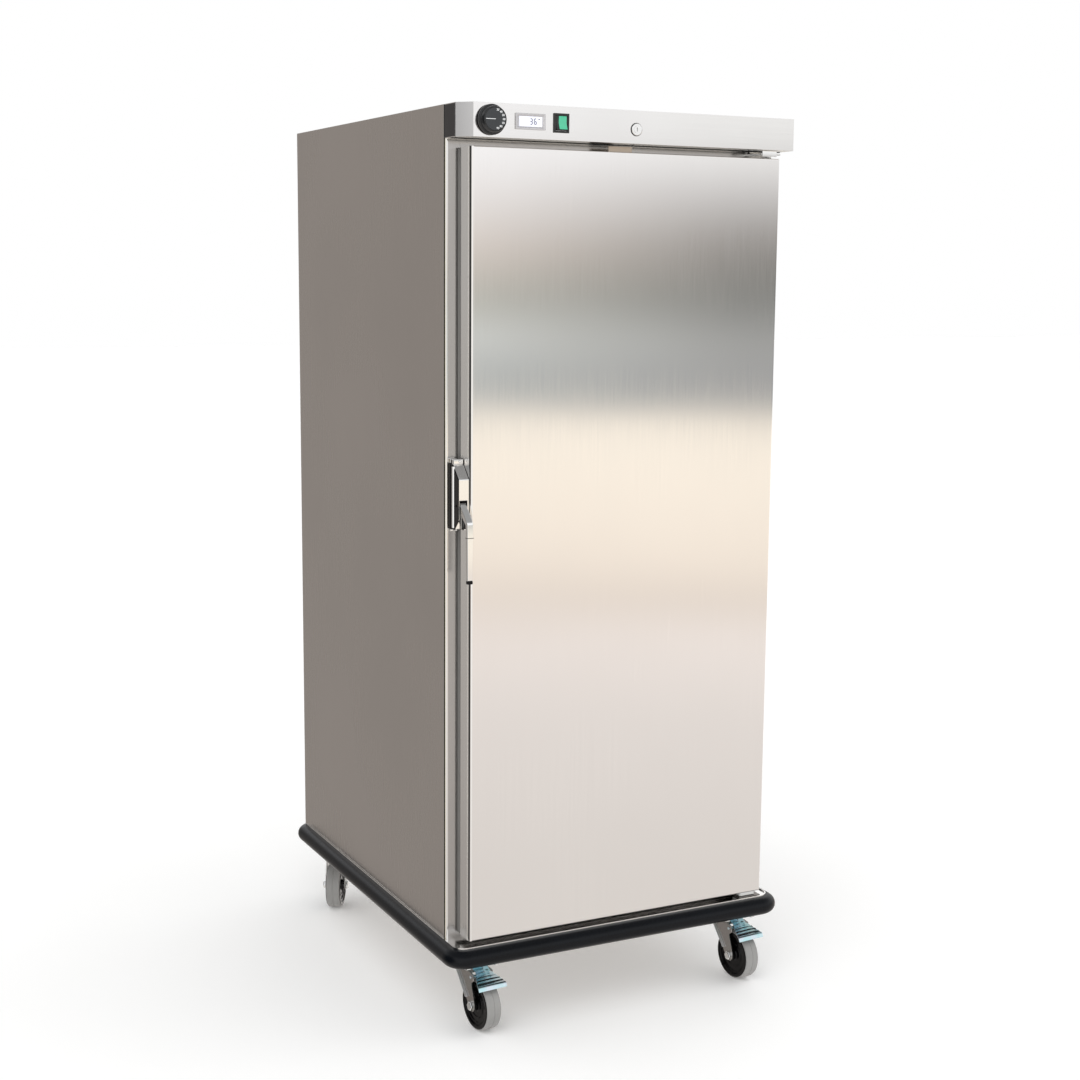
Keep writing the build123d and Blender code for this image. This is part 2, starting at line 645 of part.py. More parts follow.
# ================================================================ heating and air
def heater_element():
    """Sheathed element bent in three hairpins over the chamber floor, behind the water pan."""
    z = CAVITY_BOTTOM + 30
    y_back = CAVITY_BACK - 60
    y_front = PAN_FRONT + PAN_L + 40
    points = [
        (-150, CAVITY_BACK - 1, z), (-150, y_front, z), (-50, y_front, z), (-50, y_back, z),
        (50, y_back, z), (50, y_front, z), (150, y_front, z), (150, CAVITY_BACK - 1, z),
    ]
    path = FilletPolyline(*points, radius=30)
    start = Plane(origin=points[0], z_dir=(0, -1, 0))
    tube = sweep(start * Circle(HEATER_R), path=path)
    feet = [block(x - 8, x + 8, y_front - 8, y_front + 8, CAVITY_BOTTOM, z) for x in (-100, 100)]
    return tube + feet


def water_pan():
    """Gastronorm pan that holds the water for the steam."""
    x0 = (CAVITY_LEFT + CAVITY_RIGHT) / 2 - PAN_W / 2
    x1 = x0 + PAN_W
    y0 = PAN_FRONT
    y1 = PAN_FRONT + PAN_L
    z0 = CAVITY_BOTTOM
    rim = block(x0, x1, y0, y1, z0 + PAN_H - 1.5, z0 + PAN_H)
    tub = block(x0 + 12, x1 - 12, y0 + 12, y1 - 12, z0, z0 + PAN_H)
    tub = fillet(tub.edges().filter_by(Axis.Z), 25)
    pool = block(x0 + 13.5, x1 - 13.5, y0 + 13.5, y1 - 13.5, z0 + 1.5, z0 + PAN_H + 1)
    pool = fillet(pool.edges().filter_by(Axis.Z), 23.5)
    return fillet(rim.edges().filter_by(Axis.Z), 12) + tub - pool


def fan_motor():
    """Round motor on the chamber's rear wall, its shaft forward."""
    motor = rod_y(0, FAN_Z, CAVITY_BACK - 24, CAVITY_BACK, MOTOR_R)
    motor += rod_y(0, FAN_Z, CAVITY_BACK - 2, CAVITY_BACK, MOTOR_R + 12)
    return motor + rod_y(0, FAN_Z, FAN_Y - 12, CAVITY_BACK - 20, 3)


def fan_blade():
    """Five pitched blades on a hub."""
    hub = rod_y(0, FAN_Z, FAN_Y - 10, FAN_Y + 10, 15)
    for k in range(5):
        blade = Pos(FAN_R / 2 + 4, 0, 0) * Rot(28, 0, 0) * Box(FAN_R - 8, 1.5, 34)
        hub += Pos(0, FAN_Y, FAN_Z) * Rot(0, 72 * k, 0) * blade
    return hub - rod_y(0, FAN_Z, FAN_Y - 11, FAN_Y + 11, 3 + RUN_FIT)


def fan_guard():
    """Wire-style guard: rings and spokes on four stand-offs."""
    y0 = FAN_Y - 20
    y1 = y0 + 3
    guard = rod_y(0, FAN_Z, y0, y1, 18)
    for r in (38, 58, 78, 95):
        guard += rod_y(0, FAN_Z, y0, y1, r) - rod_y(0, FAN_Z, y0 - 1, y1 + 1, r - 3)
    for k in range(4):
        a = radians(45 + 90 * k)
        guard += Pos(0, (y0 + y1) / 2, FAN_Z) * Rot(0, 45 + 90 * k, 0) * Pos(50, 0, 0) * Box(84, 3, 4)
        guard += rod_y(91 * cos(a), FAN_Z + 91 * sin(a), y0, CAVITY_BACK, 3.5)
    return guard


def temperature_bulb():
    """Thermostat's sensing bulb in two clips under the chamber roof."""
    y0 = CAVITY_BACK - 120
    bulb = rod_y(-150, CAVITY_TOP - 14, y0, y0 + 90, 3.5)
    for y in (y0 + 20, y0 + 70):
        bulb += block(-153, -147, y - 4, y + 4, CAVITY_TOP - 14, CAVITY_TOP)
    return bulb


# ================================================================ castors
def bolt_places():
    """Centres of a castor plate's four bolts from its middle."""
    return [(x * BOLT_PITCH_X / 2, y * BOLT_PITCH_Y / 2) for x in (-1, 1) for y in (-1, 1)]


def castor_plate():
    """Top plate with its raceway and kingpin."""
    plate = extrude(Pos(0, 0, PLATE_Z - PLATE_T) * RectangleRounded(PLATE_W, PLATE_D, 8), PLATE_T)
    for x, y in bolt_places():
        plate -= rod_z(x, y, PLATE_Z - 9, PLATE_Z + 1, BOLT_R + CLEAR)
    plate += rod_z(0, 0, PLATE_Z - PLATE_T - 5, PLATE_Z - PLATE_T, 22)
    plate += rod_z(0, 0, CROWN_Z - 3, PLATE_Z, KING_R)
    return plate


def castor_bolt():
    """Hexagon bolt up through the plate, with its nut inside the chassis."""
    head = Pos(0, 0, PLATE_Z - PLATE_T - 5.3) * hexagon(13, 5.3)
    return head + rod_z(0, 0, PLATE_Z - PLATE_T - 1, PLATE_Z + 10, BOLT_R)


def fork_leg_outline(braked):
    """One leg from the side; a braked leg has an ear in front for the pedal's pin."""
    ear = [(-40, CROWN_Z + 1), (-41, PEDAL_PIN_Z - 7), (-34, PEDAL_PIN_Z - 13)] if braked else []
    foot = [
        (-TRAIL - 11, WHEEL_R + 6), (-TRAIL - 11, WHEEL_R - 4), (-TRAIL - 5, WHEEL_R - 11),
        (-TRAIL + 5, WHEEL_R - 11), (-TRAIL + 11, WHEEL_R - 4),
    ]
    return [(27, CROWN_Z + 3), (-29, CROWN_Z + 3), *ear, *foot, (12, CROWN_Z - 14)]


def castor_fork(braked):
    """Pressed fork: round crown under the raceway and two legs down to the axle."""
    crown_top = PLATE_Z - PLATE_T - 5 - CLEAR
    leg_outline = fork_leg_outline(braked)
    fork = rod_z(0, 0, CROWN_Z, crown_top, 26)
    fork += block(-FORK_OUTER, FORK_OUTER, -29, 27, CROWN_Z, CROWN_Z + FORK_T)
    fork += side_profile(leg_outline, FORK_OUTER - FORK_T, FORK_OUTER)
    fork += side_profile(leg_outline, -FORK_OUTER, -FORK_OUTER + FORK_T)
    fork -= rod_x(-TRAIL, WHEEL_R, -FORK_OUTER - 1, FORK_OUTER + 1, AXLE_R + RUN_FIT)
    if braked:
        ends = FORK_OUTER + 1
        fork -= rod_x(PEDAL_PIN_Y, PEDAL_PIN_Z, -ends, ends, PEDAL_PIN_R + RUN_FIT)
    return fork - rod_z(0, 0, CROWN_Z - 1, crown_top + 1, KING_R + RUN_FIT)


def castor_axle():
    """Axle bolt with a hexagon head and nut outside the fork legs."""
    reach = FORK_OUTER + 6
    axle = rod_x(-TRAIL, WHEEL_R, -reach, reach, AXLE_R)
    for x, turn in ((FORK_OUTER, 90), (-FORK_OUTER, -90)):
        axle += Pos(x, -TRAIL, WHEEL_R) * Rot(0, turn, 0) * hexagon(16, 5.5)
    return axle


def wheel_hub():
    """Moulded wheel centre with a shallow dished web and a long boss."""
    half = TYRE_W / 2
    hub = rod_x(-TRAIL, WHEEL_R, -half, half, TYRE_INNER_R)
    for x0, x1 in ((-half - 1, -HUB_WEB), (HUB_WEB, half + 1)):
        hub -= rod_x(-TRAIL, WHEEL_R, x0, x1, TYRE_INNER_R - HUB_RIM_T)
    hub += rod_x(-TRAIL, WHEEL_R, -half - 3, half + 3, HUB_BOSS_R)
    return hub - rod_x(-TRAIL, WHEEL_R, -half - 4, half + 4, AXLE_R + RUN_FIT)


def wheel_tyre():
    """Rubber tread band with rounded shoulders."""
    band = rod_x(-TRAIL, WHEEL_R, -TYRE_W / 2, TYRE_W / 2, WHEEL_R)
    band = fillet(band.edges().filter_by(GeomType.CIRCLE), 4)
    return band - rod_x(-TRAIL, WHEEL_R, -TYRE_W, TYRE_W, TYRE_INNER_R)


def brake_pedal():
    """Wide foot pedal hinged between the fork's ears, with the shoe that meets the tread."""
    outline = [
        (PEDAL_PIN_Y + 3, PEDAL_PIN_Z + 3), (PEDAL_PIN_Y - 3, PEDAL_PIN_Z + 4), (-62, PEDAL_PIN_Z - 3),
        (-80, PEDAL_PIN_Z - 8), (-80, PEDAL_PIN_Z - 10.5), (-62, PEDAL_PIN_Z - 5.5), (PEDAL_PIN_Y, PEDAL_PIN_Z),
    ]
    root = PEDAL_ROOT_W / 2
    lip = PEDAL_W / 2
    plan = [
        (-root, PEDAL_PIN_Y + 4), (-root, -48), (-lip, -76), (-lip, -81), (lip, -81), (lip, -76), (root, -48),
        (root, PEDAL_PIN_Y + 4),
    ]
    flare = extrude(make_face(Polyline(*plan, close=True)), PEDAL_PIN_Z + 10)
    pedal = side_profile(outline, -PEDAL_W / 2, PEDAL_W / 2) & flare
    pedal += block(-10, 10, -50, -44, PEDAL_PIN_Z - 5.4, PEDAL_PIN_Z)
    reach = FORK_OUTER + 1.5
    return pedal + rod_x(PEDAL_PIN_Y, PEDAL_PIN_Z, -reach, reach, PEDAL_PIN_R)


# ================================================================ assembly
def place(shape, x, y, turn):
    """A castor piece in its place, turned about its swivel axis."""
    return Pos(x, y, 0) * Rot(0, 0, turn) * shape


def castor_nodes():
    """Every moving castor piece, named by corner."""
    shapes = {"axle": castor_axle(), "hub": wheel_hub(), "tyre": wheel_tyre()}
    forks = {braked: castor_fork(braked) for braked in (True, False)}
    pedal = brake_pedal()
    nodes = {}
    for corner, (x, y, turn, braked) in CASTORS.items():
        nodes[f"{corner}_castor_fork"] = place(forks[braked], x, y, turn)
        for name, shape in shapes.items():
            nodes[f"{corner}_castor_{name}"] = place(shape, x, y, turn)
        if braked:
            nodes[f"{corner}_castor_brake_pedal"] = place(pedal, x, y, turn)
    return nodes


def castor_fixings():
    """The four top plates, and the sixteen bolts that hold them."""
    plate = castor_plate()
    bolt = castor_bolt()
    plates = [place(plate, x, y, 0) for x, y, _, _ in CASTORS.values()]
    bolts = [
        place(bolt, x + bx, y + by, 0) for x, y, _, _ in CASTORS.values() for bx, by in bolt_places()
    ]
    return {"castor_plates": plates, "castor_bolts": bolts}


def all_nodes():
    """Every sub-part by its node name; a list is a group of separate solids."""
    nodes = {
        "left_side_panel": side_panel(-1),
        "right_side_panel": side_panel(1),
    }
    makers = [
        base_frame, bumper, back_panel, top_panel, front_frame, inner_liner, insulation, power_inlet,
        fascia, thermostat_body, thermostat_knob, display_housing, display_window, switch_housing,
        switch_rocker, lock_barrel, lock_plug, lock_cam, door_outer_skin, door_core, door_inner_panel,
        door_gasket, hinge_bushes, hinge_brackets, hinge_pins, lock_keeper, latch_case, latch_pin,
        latch_lever, latch_strike, rack_posts, tray_ledges, heater_element, water_pan, fan_motor,
        fan_blade, fan_guard, temperature_bulb,
    ]
    nodes.update({make.__name__: make() for make in makers})
    nodes.update(castor_fixings())
    nodes.update(castor_nodes())
    return nodes


os.makedirs("parts", exist_ok=True)
for node, shape in all_nodes().items():
    part = Compound(children=shape) if isinstance(shape, list) else shape
    export_step(part, f"parts/{node}.step")
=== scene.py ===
import json
from math import cos, pi, radians, sin

import bmesh
import bpy
from mathutils import Matrix, Vector


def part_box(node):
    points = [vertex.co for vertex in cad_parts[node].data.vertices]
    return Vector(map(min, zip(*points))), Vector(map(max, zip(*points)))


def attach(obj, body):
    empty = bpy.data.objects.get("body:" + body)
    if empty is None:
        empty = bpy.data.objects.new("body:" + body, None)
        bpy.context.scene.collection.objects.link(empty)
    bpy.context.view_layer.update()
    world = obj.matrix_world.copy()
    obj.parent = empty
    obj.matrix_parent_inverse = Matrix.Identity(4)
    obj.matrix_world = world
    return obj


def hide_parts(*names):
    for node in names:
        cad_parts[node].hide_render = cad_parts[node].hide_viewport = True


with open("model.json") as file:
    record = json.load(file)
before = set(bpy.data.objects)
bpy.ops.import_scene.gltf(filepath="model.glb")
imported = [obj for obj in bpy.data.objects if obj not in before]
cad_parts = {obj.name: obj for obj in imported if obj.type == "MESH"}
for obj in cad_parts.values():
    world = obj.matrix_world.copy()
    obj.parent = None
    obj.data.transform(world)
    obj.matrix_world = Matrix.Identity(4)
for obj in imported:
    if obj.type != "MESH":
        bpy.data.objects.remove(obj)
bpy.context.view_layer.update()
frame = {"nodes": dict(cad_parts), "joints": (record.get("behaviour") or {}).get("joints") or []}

# ---------------------------------------------------------------- outer sheets
# The side panels, back, roof and the face round the door are 1.5 mm satin stainless sheet, brushed
# upright. The side panels are folded in at the front. The bends get a brighter copy of the steel, a
# painted highlight, and the fold's front strip and the face round the door get a darker copy, painted
# shade. Handling has left the sheet slightly cloudy, with a few hairline scratches, and large sheets
# are never dead flat.
MM = 0.001
nodes = frame["nodes"]
UPRIGHT = (1.0, 1.0, 0.012)
EVEN = (1.0, 1.0, 1.0)


def recipe(name, metallic, roughness):
    """A new material, with its tree and main shader."""
    material = bpy.data.materials.new(name)
    material.use_nodes = True
    shader = material.node_tree.nodes["Principled BSDF"]
    shader.inputs["Metallic"].default_value = metallic
    shader.inputs["Roughness"].default_value = roughness
    return material, material.node_tree, shader


def add(tree, kind, inputs=None, **settings):
    """Adds a shader node; each input is a value or another node's output."""
    node = tree.nodes.new(kind)
    for key, value in settings.items():
        setattr(node, key, value)
    for key, value in (inputs or {}).items():
        if isinstance(value, bpy.types.NodeSocket):
            tree.links.new(value, node.inputs[key])
        else:
            node.inputs[key].default_value = value
    return node


def pattern(tree, scale, size, detail=2.0, turn=(0.0, 0.0, 0.0)):
    """Noise on the piece's own coordinates, stretched by a scale for each axis."""
    place = add(tree, "ShaderNodeTexCoord").outputs["Object"]
    mapped = add(tree, "ShaderNodeMapping", {"Vector": place, "Scale": scale, "Rotation": turn})
    noise = add(tree, "ShaderNodeTexNoise", {"Vector": mapped.outputs[0], "Scale": size, "Detail": detail})
    return noise.outputs["Fac"]


def spread(tree, value, low, high, new_low, new_high):
    """Maps a pattern's range onto another, clamped."""
    inputs = {"Value": value, "From Min": low, "From Max": high, "To Min": new_low, "To Max": new_high}
    return add(tree, "ShaderNodeMapRange", inputs).outputs[0]


def between(tree, share, first, second):
    """Colour between two, by a pattern."""
    return add(tree, "ShaderNodeMix", {0: share, 6: first, 7: second}, data_type="RGBA").outputs[2]


def shade(colour, factor=1.0):
    """Colour with full alpha, made lighter or darker."""
    return (*(channel * factor for channel in colour), 1.0)


def brushed_steel(name, colour, roughness, grain=UPRIGHT, wave=0.0, streak=0.02, cloudy=0.05):
    """Brushed stainless: streaks along the grain, cloudy patches, hairlines and faint waves."""
    material, tree, shader = recipe(name, 1.0, roughness)
    fine = pattern(tree, grain, 900.0)
    band = pattern(tree, grain, 260.0, 3.0)
    cloud = pattern(tree, EVEN, 2.3, 4.0)
    hairline = pattern(tree, [0.35 * axis for axis in grain], 1500.0, 1.0, (0.15, 0.11, 0.07))
    streaked = spread(tree, band, 0.3, 0.7, 0.0, 1.0)
    toned = between(tree, streaked, shade(colour, 1 - 2 * streak), shade(colour))
    patchy = spread(tree, cloud, 0.35, 0.75, 0.0, 1.0)
    clouded = between(tree, patchy, toned, shade(colour, 1 - cloudy))
    scratch = spread(tree, hairline, 0.75, 0.79, 0.0, 0.25)
    scratched = between(tree, scratch, clouded, shade(colour, 1.12))
    tree.links.new(scratched, shader.inputs["Base Color"])
    matt = spread(tree, cloud, 0.3, 0.7, 0.88 * roughness, 1.16 * roughness)
    flicker = spread(tree, fine, 0.3, 0.7, -0.012, 0.012)
    rough = add(tree, "ShaderNodeMath", {0: matt, 1: flicker}, operation="ADD")
    tree.links.new(rough.outputs[0], shader.inputs["Roughness"])
    brushed = add(tree, "ShaderNodeBump", {"Height": fine, "Strength": 0.1, "Distance": 0.03 * MM})
    normal = brushed.outputs[0]
    if wave:
        swell = pattern(tree, (1.0, 1.0, 1.6), 1.7, 1.0)
        bend = {"Height": swell, "Strength": 1.0, "Distance": wave, "Normal": normal}
        normal = add(tree, "ShaderNodeBump", bend).outputs[0]
    tree.links.new(normal, shader.inputs["Normal"])
    return material


def dress(material, *names):
    """Gives CAD pieces their material."""
    for name in names:
        nodes[name].data.materials.clear()
        nodes[name].data.materials.append(material)


def only(piece):
    """Makes one piece the selected and active one."""
    bpy.ops.object.select_all(action="DESELECT")
    piece.select_set(True)
    bpy.context.view_layer.objects.active = piece


def block(name, low, high):
    """A cube primitive between two opposite corners, its object at the origin."""
    bpy.ops.object.select_all(action="DESELECT")
    low, high = Vector(low), Vector(high)
    bpy.ops.mesh.primitive_cube_add(size=1.0, location=(low + high) / 2, scale=high - low)
    piece = bpy.context.active_object
    piece.name = name
    bpy.ops.object.transform_apply(location=True, rotation=True, scale=True)
    return piece


def pick(piece, test, kind="FACE"):
    """In edit mode, selects the faces, edges or corners whose middle passes a test."""
    only(piece)
    bpy.ops.object.mode_set(mode="EDIT")
    bpy.ops.mesh.select_mode(type=kind)
    bpy.ops.mesh.select_all(action="DESELECT")
    mesh = bmesh.from_edit_mesh(piece.data)
    if kind == "FACE":
        chosen = [face for face in mesh.faces if test(face.calc_center_median(), face.normal)]
    elif kind == "EDGE":
        chosen = [edge for edge in mesh.edges if test((edge.verts[0].co + edge.verts[1].co) / 2, edge)]
    else:
        chosen = [vertex for vertex in mesh.verts if test(vertex.co, vertex)]
    for part in chosen:
        part.select_set(True)
    bmesh.update_edit_mesh(piece.data)


def leave():
    """Back to object mode."""
    bpy.ops.object.mode_set(mode="OBJECT")


def use_modifier(piece, kind, **settings):
    """Adds a modifier and applies it."""
    modifier = piece.modifiers.new("step", kind)
    for key, value in settings.items():
        setattr(modifier, key, value)
    only(piece)
    bpy.ops.object.modifier_apply(modifier=modifier.name)


def soften(piece, width, segments=2, angle=30):
    """Rounds a piece's sharp edges, and shades it smooth across them."""
    use_modifier(
        piece, "BEVEL", width=width, segments=segments, limit_method="ANGLE", angle_limit=radians(angle)
    )
    bpy.ops.object.shade_smooth_by_angle(angle=radians(35))
    use_modifier(piece, "WEIGHTED_NORMAL", keep_sharp=True)


def fit(piece, material, body, slot, *replaced):
    """Gives a piece its material and body, and hides the CAD nodes that it stands for; its slot is not used.
    """
    piece.data.name = piece.name
    if material is not None:
        piece.data.materials.clear()
        piece.data.materials.append(material)
    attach(piece, body)
    if replaced:
        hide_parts(*replaced)
    return piece


def folded_side(name, low, high, keeps):
    """A side sheet with its front edge folded in: two faces of a block, thickened inwards."""
    sheet = block(name, low, high)
    pick(sheet, lambda middle, normal: normal.y > -0.9 and normal.x * keeps < 0.9)
    bpy.ops.mesh.delete(type="FACE")
    leave()
    outer_x = low.x if keeps < 0 else high.x
    pick(sheet, lambda middle, edge: (
        abs(middle.x - outer_x) < MM and abs(middle.y - low.y) < MM
        and abs((edge.verts[0].co - edge.verts[1].co).z) > MM
    ), "EDGE")
    bpy.ops.mesh.bevel(offset=FOLD_R, segments=6)
    leave()
    use_modifier(sheet, "SOLIDIFY", thickness=OUTER_SHEET, offset=-1.0)
    soften(sheet, 0.3 * MM)
    # The bends take the brighter copy (painted highlight), the fold's front strip the darker copy (painted
    # shade).
    for material in (side_steel, bend_highlight_steel, face_shade_steel):
        sheet.data.materials.append(material)
    for face in sheet.data.polygons:
        if face.center.y < low.y + FOLD_R:
            face.material_index = 1 if abs(face.normal.x) > 0.08 else 2
    return sheet


FOLD_R = 6.5 * MM
FOLD_W = 30 * MM
OUTER_SHEET = 1.5 * MM
side_steel = brushed_steel("satin_side_sheet", (0.60, 0.57, 0.545), 0.27, wave=0.8 * MM, streak=0.012)
# The fold's lighter copy of the sheet is a painted highlight; the face's darker copy is painted shade.
bend_highlight_steel = brushed_steel("painted_highlight_fold", (0.76, 0.75, 0.73), 0.1, streak=0.012)
face_shade_steel = brushed_steel("painted_shade_face_sheet", (0.47, 0.46, 0.45), 0.2, wave=0.2 * MM)
left_low, left_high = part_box("left_side_panel")
right_low, right_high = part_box("right_side_panel")
left_inner = Vector((left_low.x + FOLD_W, *left_high.yz))
left_side = folded_side("left_side_sheet", left_low, left_inner, -1)
fit(left_side, None, "cabinet", "outer_stainless", "left_side_panel")
right_inner = Vector((right_high.x - FOLD_W, *right_low.yz))
right_side = folded_side("right_side_sheet", right_inner, right_high, 1)
fit(right_side, None, "cabinet", "outer_stainless", "right_side_panel")
dress(side_steel, "back_panel", "top_panel")
# The face round the door takes the darker copy of the sheet: painted shade.
dress(face_shade_steel, "front_frame")

# ---------------------------------------------------------------- rear screws
# The back is held by pan-head stainless screws with a cross recess: seven at an even pitch down
# each edge, and two more along the top and along the bottom.


def turned(name, profile, centre, axis, steps=48):
    """Lathes an outline of (radius, along) points about an axis through a centre."""
    bpy.ops.object.select_all(action="DESELECT")
    bpy.ops.mesh.primitive_plane_add(size=MM)
    piece = bpy.context.active_object
    piece.name = name
    axis = Vector(axis).normalized()
    radial = axis.orthogonal().normalized()
    points = [Vector(centre) + radius * radial + along * axis for radius, along in profile]
    bpy.ops.object.mode_set(mode="EDIT")
    bpy.ops.mesh.select_mode(type="VERT")
    bpy.ops.mesh.merge(type="CENTER")
    bpy.ops.transform.translate(value=points[0])
    for last, point in zip(points, points[1:]):
        bpy.ops.mesh.extrude_region_move(TRANSFORM_OT_translate={"value": point - last})
    bpy.ops.mesh.select_all(action="SELECT")
    bpy.ops.mesh.spin(steps=steps, angle=2 * pi, center=centre, axis=axis)
    bpy.ops.mesh.select_all(action="SELECT")
    bpy.ops.mesh.remove_doubles(threshold=0.002 * MM)
    bpy.ops.mesh.normals_make_consistent(inside=False)
    bpy.ops.object.mode_set(mode="OBJECT")
    only(piece)
    bpy.ops.object.shade_smooth_by_angle(angle=radians(32))
    return piece


def cut(piece, cutter):
    """Cuts one piece with another, and throws the cutter away."""
    use_modifier(piece, "BOOLEAN", operation="DIFFERENCE", object=cutter, solver="EXACT")
    bpy.data.objects.remove(cutter)


def copy_of(piece, name, place):
    """A copy with a mesh of its own, moved by a matrix."""
    twin = bpy.data.objects.new(name, piece.data.copy())
    bpy.context.scene.collection.objects.link(twin)
    twin.data.transform(place)
    return twin


def joined(name, pieces):
    """Several pieces made one."""
    only(pieces[0])
    for piece in pieces:
        piece.select_set(True)
    bpy.ops.object.join()
    pieces[0].name = name
    return pieces[0]


def pan_screw(name, radius):
    """Pan head with a cross recess, standing on the origin and facing +Z."""
    tall = 0.62 * radius
    head = turned(name, [
        (0.0, tall), (0.45 * radius, 0.96 * tall), (0.8 * radius, 0.72 * tall),
        (0.97 * radius, 0.3 * tall), (radius, 0.0), (0.0, 0.0),
    ], (0, 0, 0), (0, 0, 1), 20)
    arm = 0.55 * radius
    slot = 0.13 * radius
    for reach in ((arm, slot), (slot, arm)):
        low, high = (-reach[0], -reach[1], 0.45 * tall), (reach[0], reach[1], 2 * tall)
        cut(head, block("recess", low, high))
    return head


def facing(point, direction):
    """Matrix that puts a thing made at the origin facing +Z at a point, facing a direction."""
    turn = Vector((0, 0, 1)).rotation_difference(Vector(direction)).to_matrix().to_4x4()
    return Matrix.Translation(point) @ turn


screw_steel = brushed_steel("screw_steel", (0.66, 0.65, 0.64), 0.25, EVEN)
back_low, back_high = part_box("back_panel")
REAR_SCREW_R = 4.2 * MM
REAR_MARGIN = 14 * MM
screw = pan_screw("screw", REAR_SCREW_R)
REAR_STEPS = 6
first_z, last_z = back_low.z + REAR_MARGIN, back_high.z - REAR_MARGIN
spots = [
    (x, first_z + step / REAR_STEPS * (last_z - first_z))
    for x in (back_low.x + REAR_MARGIN, back_high.x - REAR_MARGIN)
    for step in range(REAR_STEPS + 1)
]
spots += [(share * back_high.x, z) for share in (-0.5, 0.0) for z in (first_z, last_z)]
screws = [
    copy_of(screw, f"rear_screw_{k}", facing((x, back_high.y, z), (0, 1, 0)))
    for k, (x, z) in enumerate(spots)
]
bpy.data.objects.remove(screw)
fit(joined("rear_panel_screws", screws), screw_steel, "cabinet", "pin_steel")

# ---------------------------------------------------------------- chassis and bumper
# The chassis is a folded stainless tray whose flange shows all round the body. Its steel is toned
# brighter than the other sheets, a painted highlight that makes the flange's edge read white. The
# bumper is a half-round rubber extrusion, bent round the corners and hooked over the chassis' edge.
CROSSWISE = (0.012, 1.0, 1.0)
# Near-white tone: a painted highlight on the chassis flange.
chassis_highlight_steel = brushed_steel("chassis_painted_bright_sheet", (0.92, 0.91, 0.89), 0.14, CROSSWISE)
dress(chassis_highlight_steel, "base_frame")


def moulded(name, colour, roughness, grain_size, relief, mottled=0.1):
    """Moulded rubber or plastic: fine grain, and a colour that varies a little with handling."""
    material, tree, shader = recipe(name, 0.0, roughness)
    pores = pattern(tree, EVEN, grain_size, 4.0)
    patch = pattern(tree, EVEN, 9.0, 4.0)
    share = spread(tree, patch, 0.3, 0.7, 0.0, 1.0)
    base = between(tree, share, shade(colour, 1 - mottled), shade(colour, 1 + mottled))
    tree.links.new(base, shader.inputs["Base Color"])
    rough = spread(tree, pores, 0.3, 0.7, roughness - 0.05, roughness + 0.07)
    tree.links.new(rough, shader.inputs["Roughness"])
    bump = add(tree, "ShaderNodeBump", {"Height": pores, "Strength": 0.35, "Distance": relief})
    tree.links.new(bump.outputs[0], shader.inputs["Normal"])
    return material


bumper_rubber = moulded("bumper_rubber", (0.0022, 0.0032, 0.0052), 0.3, 420.0, 0.06 * MM, 0.2)
bumper_rubber.node_tree.nodes["Principled BSDF"].inputs["Specular IOR Level"].default_value = 0.2
dress(bumper_rubber, "bumper")

# ---------------------------------------------------------------- door
# The door's front is a polished sheet folded back on four sides round a foam core. Its lining is a
# plain sheet. It mirrors the room softly, and the sheet has a slow wave from the foaming press.
door_steel = brushed_steel(
    "polished_door_sheet", (0.83, 0.815, 0.80), 0.085, wave=0.35 * MM, streak=0.008, cloudy=0.03
)
DOOR_FOLD_R = 8 * MM
DOOR_SHEET = 1.2 * MM
skin_low, skin_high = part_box("door_outer_skin")
skin = block("door_sheet", skin_low, skin_high)
pick(skin, lambda middle, normal: normal.y > 0.9)
bpy.ops.mesh.delete(type="FACE")
leave()
pick(skin, lambda middle, edge: abs(middle.y - skin_low.y) < MM and abs(middle.x) > 100 * MM, "EDGE")
bpy.ops.mesh.bevel(offset=DOOR_FOLD_R, segments=6)
leave()
pick(skin, lambda middle, edge: middle.y < skin_low.y + 0.5 * MM and edge.calc_face_angle(0) > 1.2, "EDGE")
bpy.ops.mesh.bevel(offset=2.5 * MM, segments=3)
leave()
use_modifier(skin, "SOLIDIFY", thickness=DOOR_SHEET, offset=-1.0)
joint_named = {joint["name"]: joint for joint in frame["joints"]}
hinge_x, hinge_y, _ = joint_named["door_hinge"]["pos_m"]
BORE_R = 7.1 * MM
BORE_REACH = 5 * MM
for end_z in (skin_low.z, skin_high.z):
    cut(skin, turned("bore", [
        (0.0, -BORE_REACH), (BORE_R, -BORE_REACH), (BORE_R, BORE_REACH), (0.0, BORE_REACH),
    ], (hinge_x, hinge_y, end_z), (0, 0, 1), 32))
soften(skin, 0.3 * MM)
fit(skin, door_steel, "door", "door_stainless", "door_outer_skin")
lining_steel = brushed_steel("lining_sheet", (0.66, 0.66, 0.65), 0.3)
dress(lining_steel, "door_inner_panel", "inner_liner", "rack_posts")
dress(moulded("door_foam", (0.8, 0.72, 0.5), 0.8, 200.0, 0.4 * MM), "door_core")
dress(moulded("mineral_wool", (0.6, 0.5, 0.28), 0.9, 150.0, 1.0 * MM), "insulation")

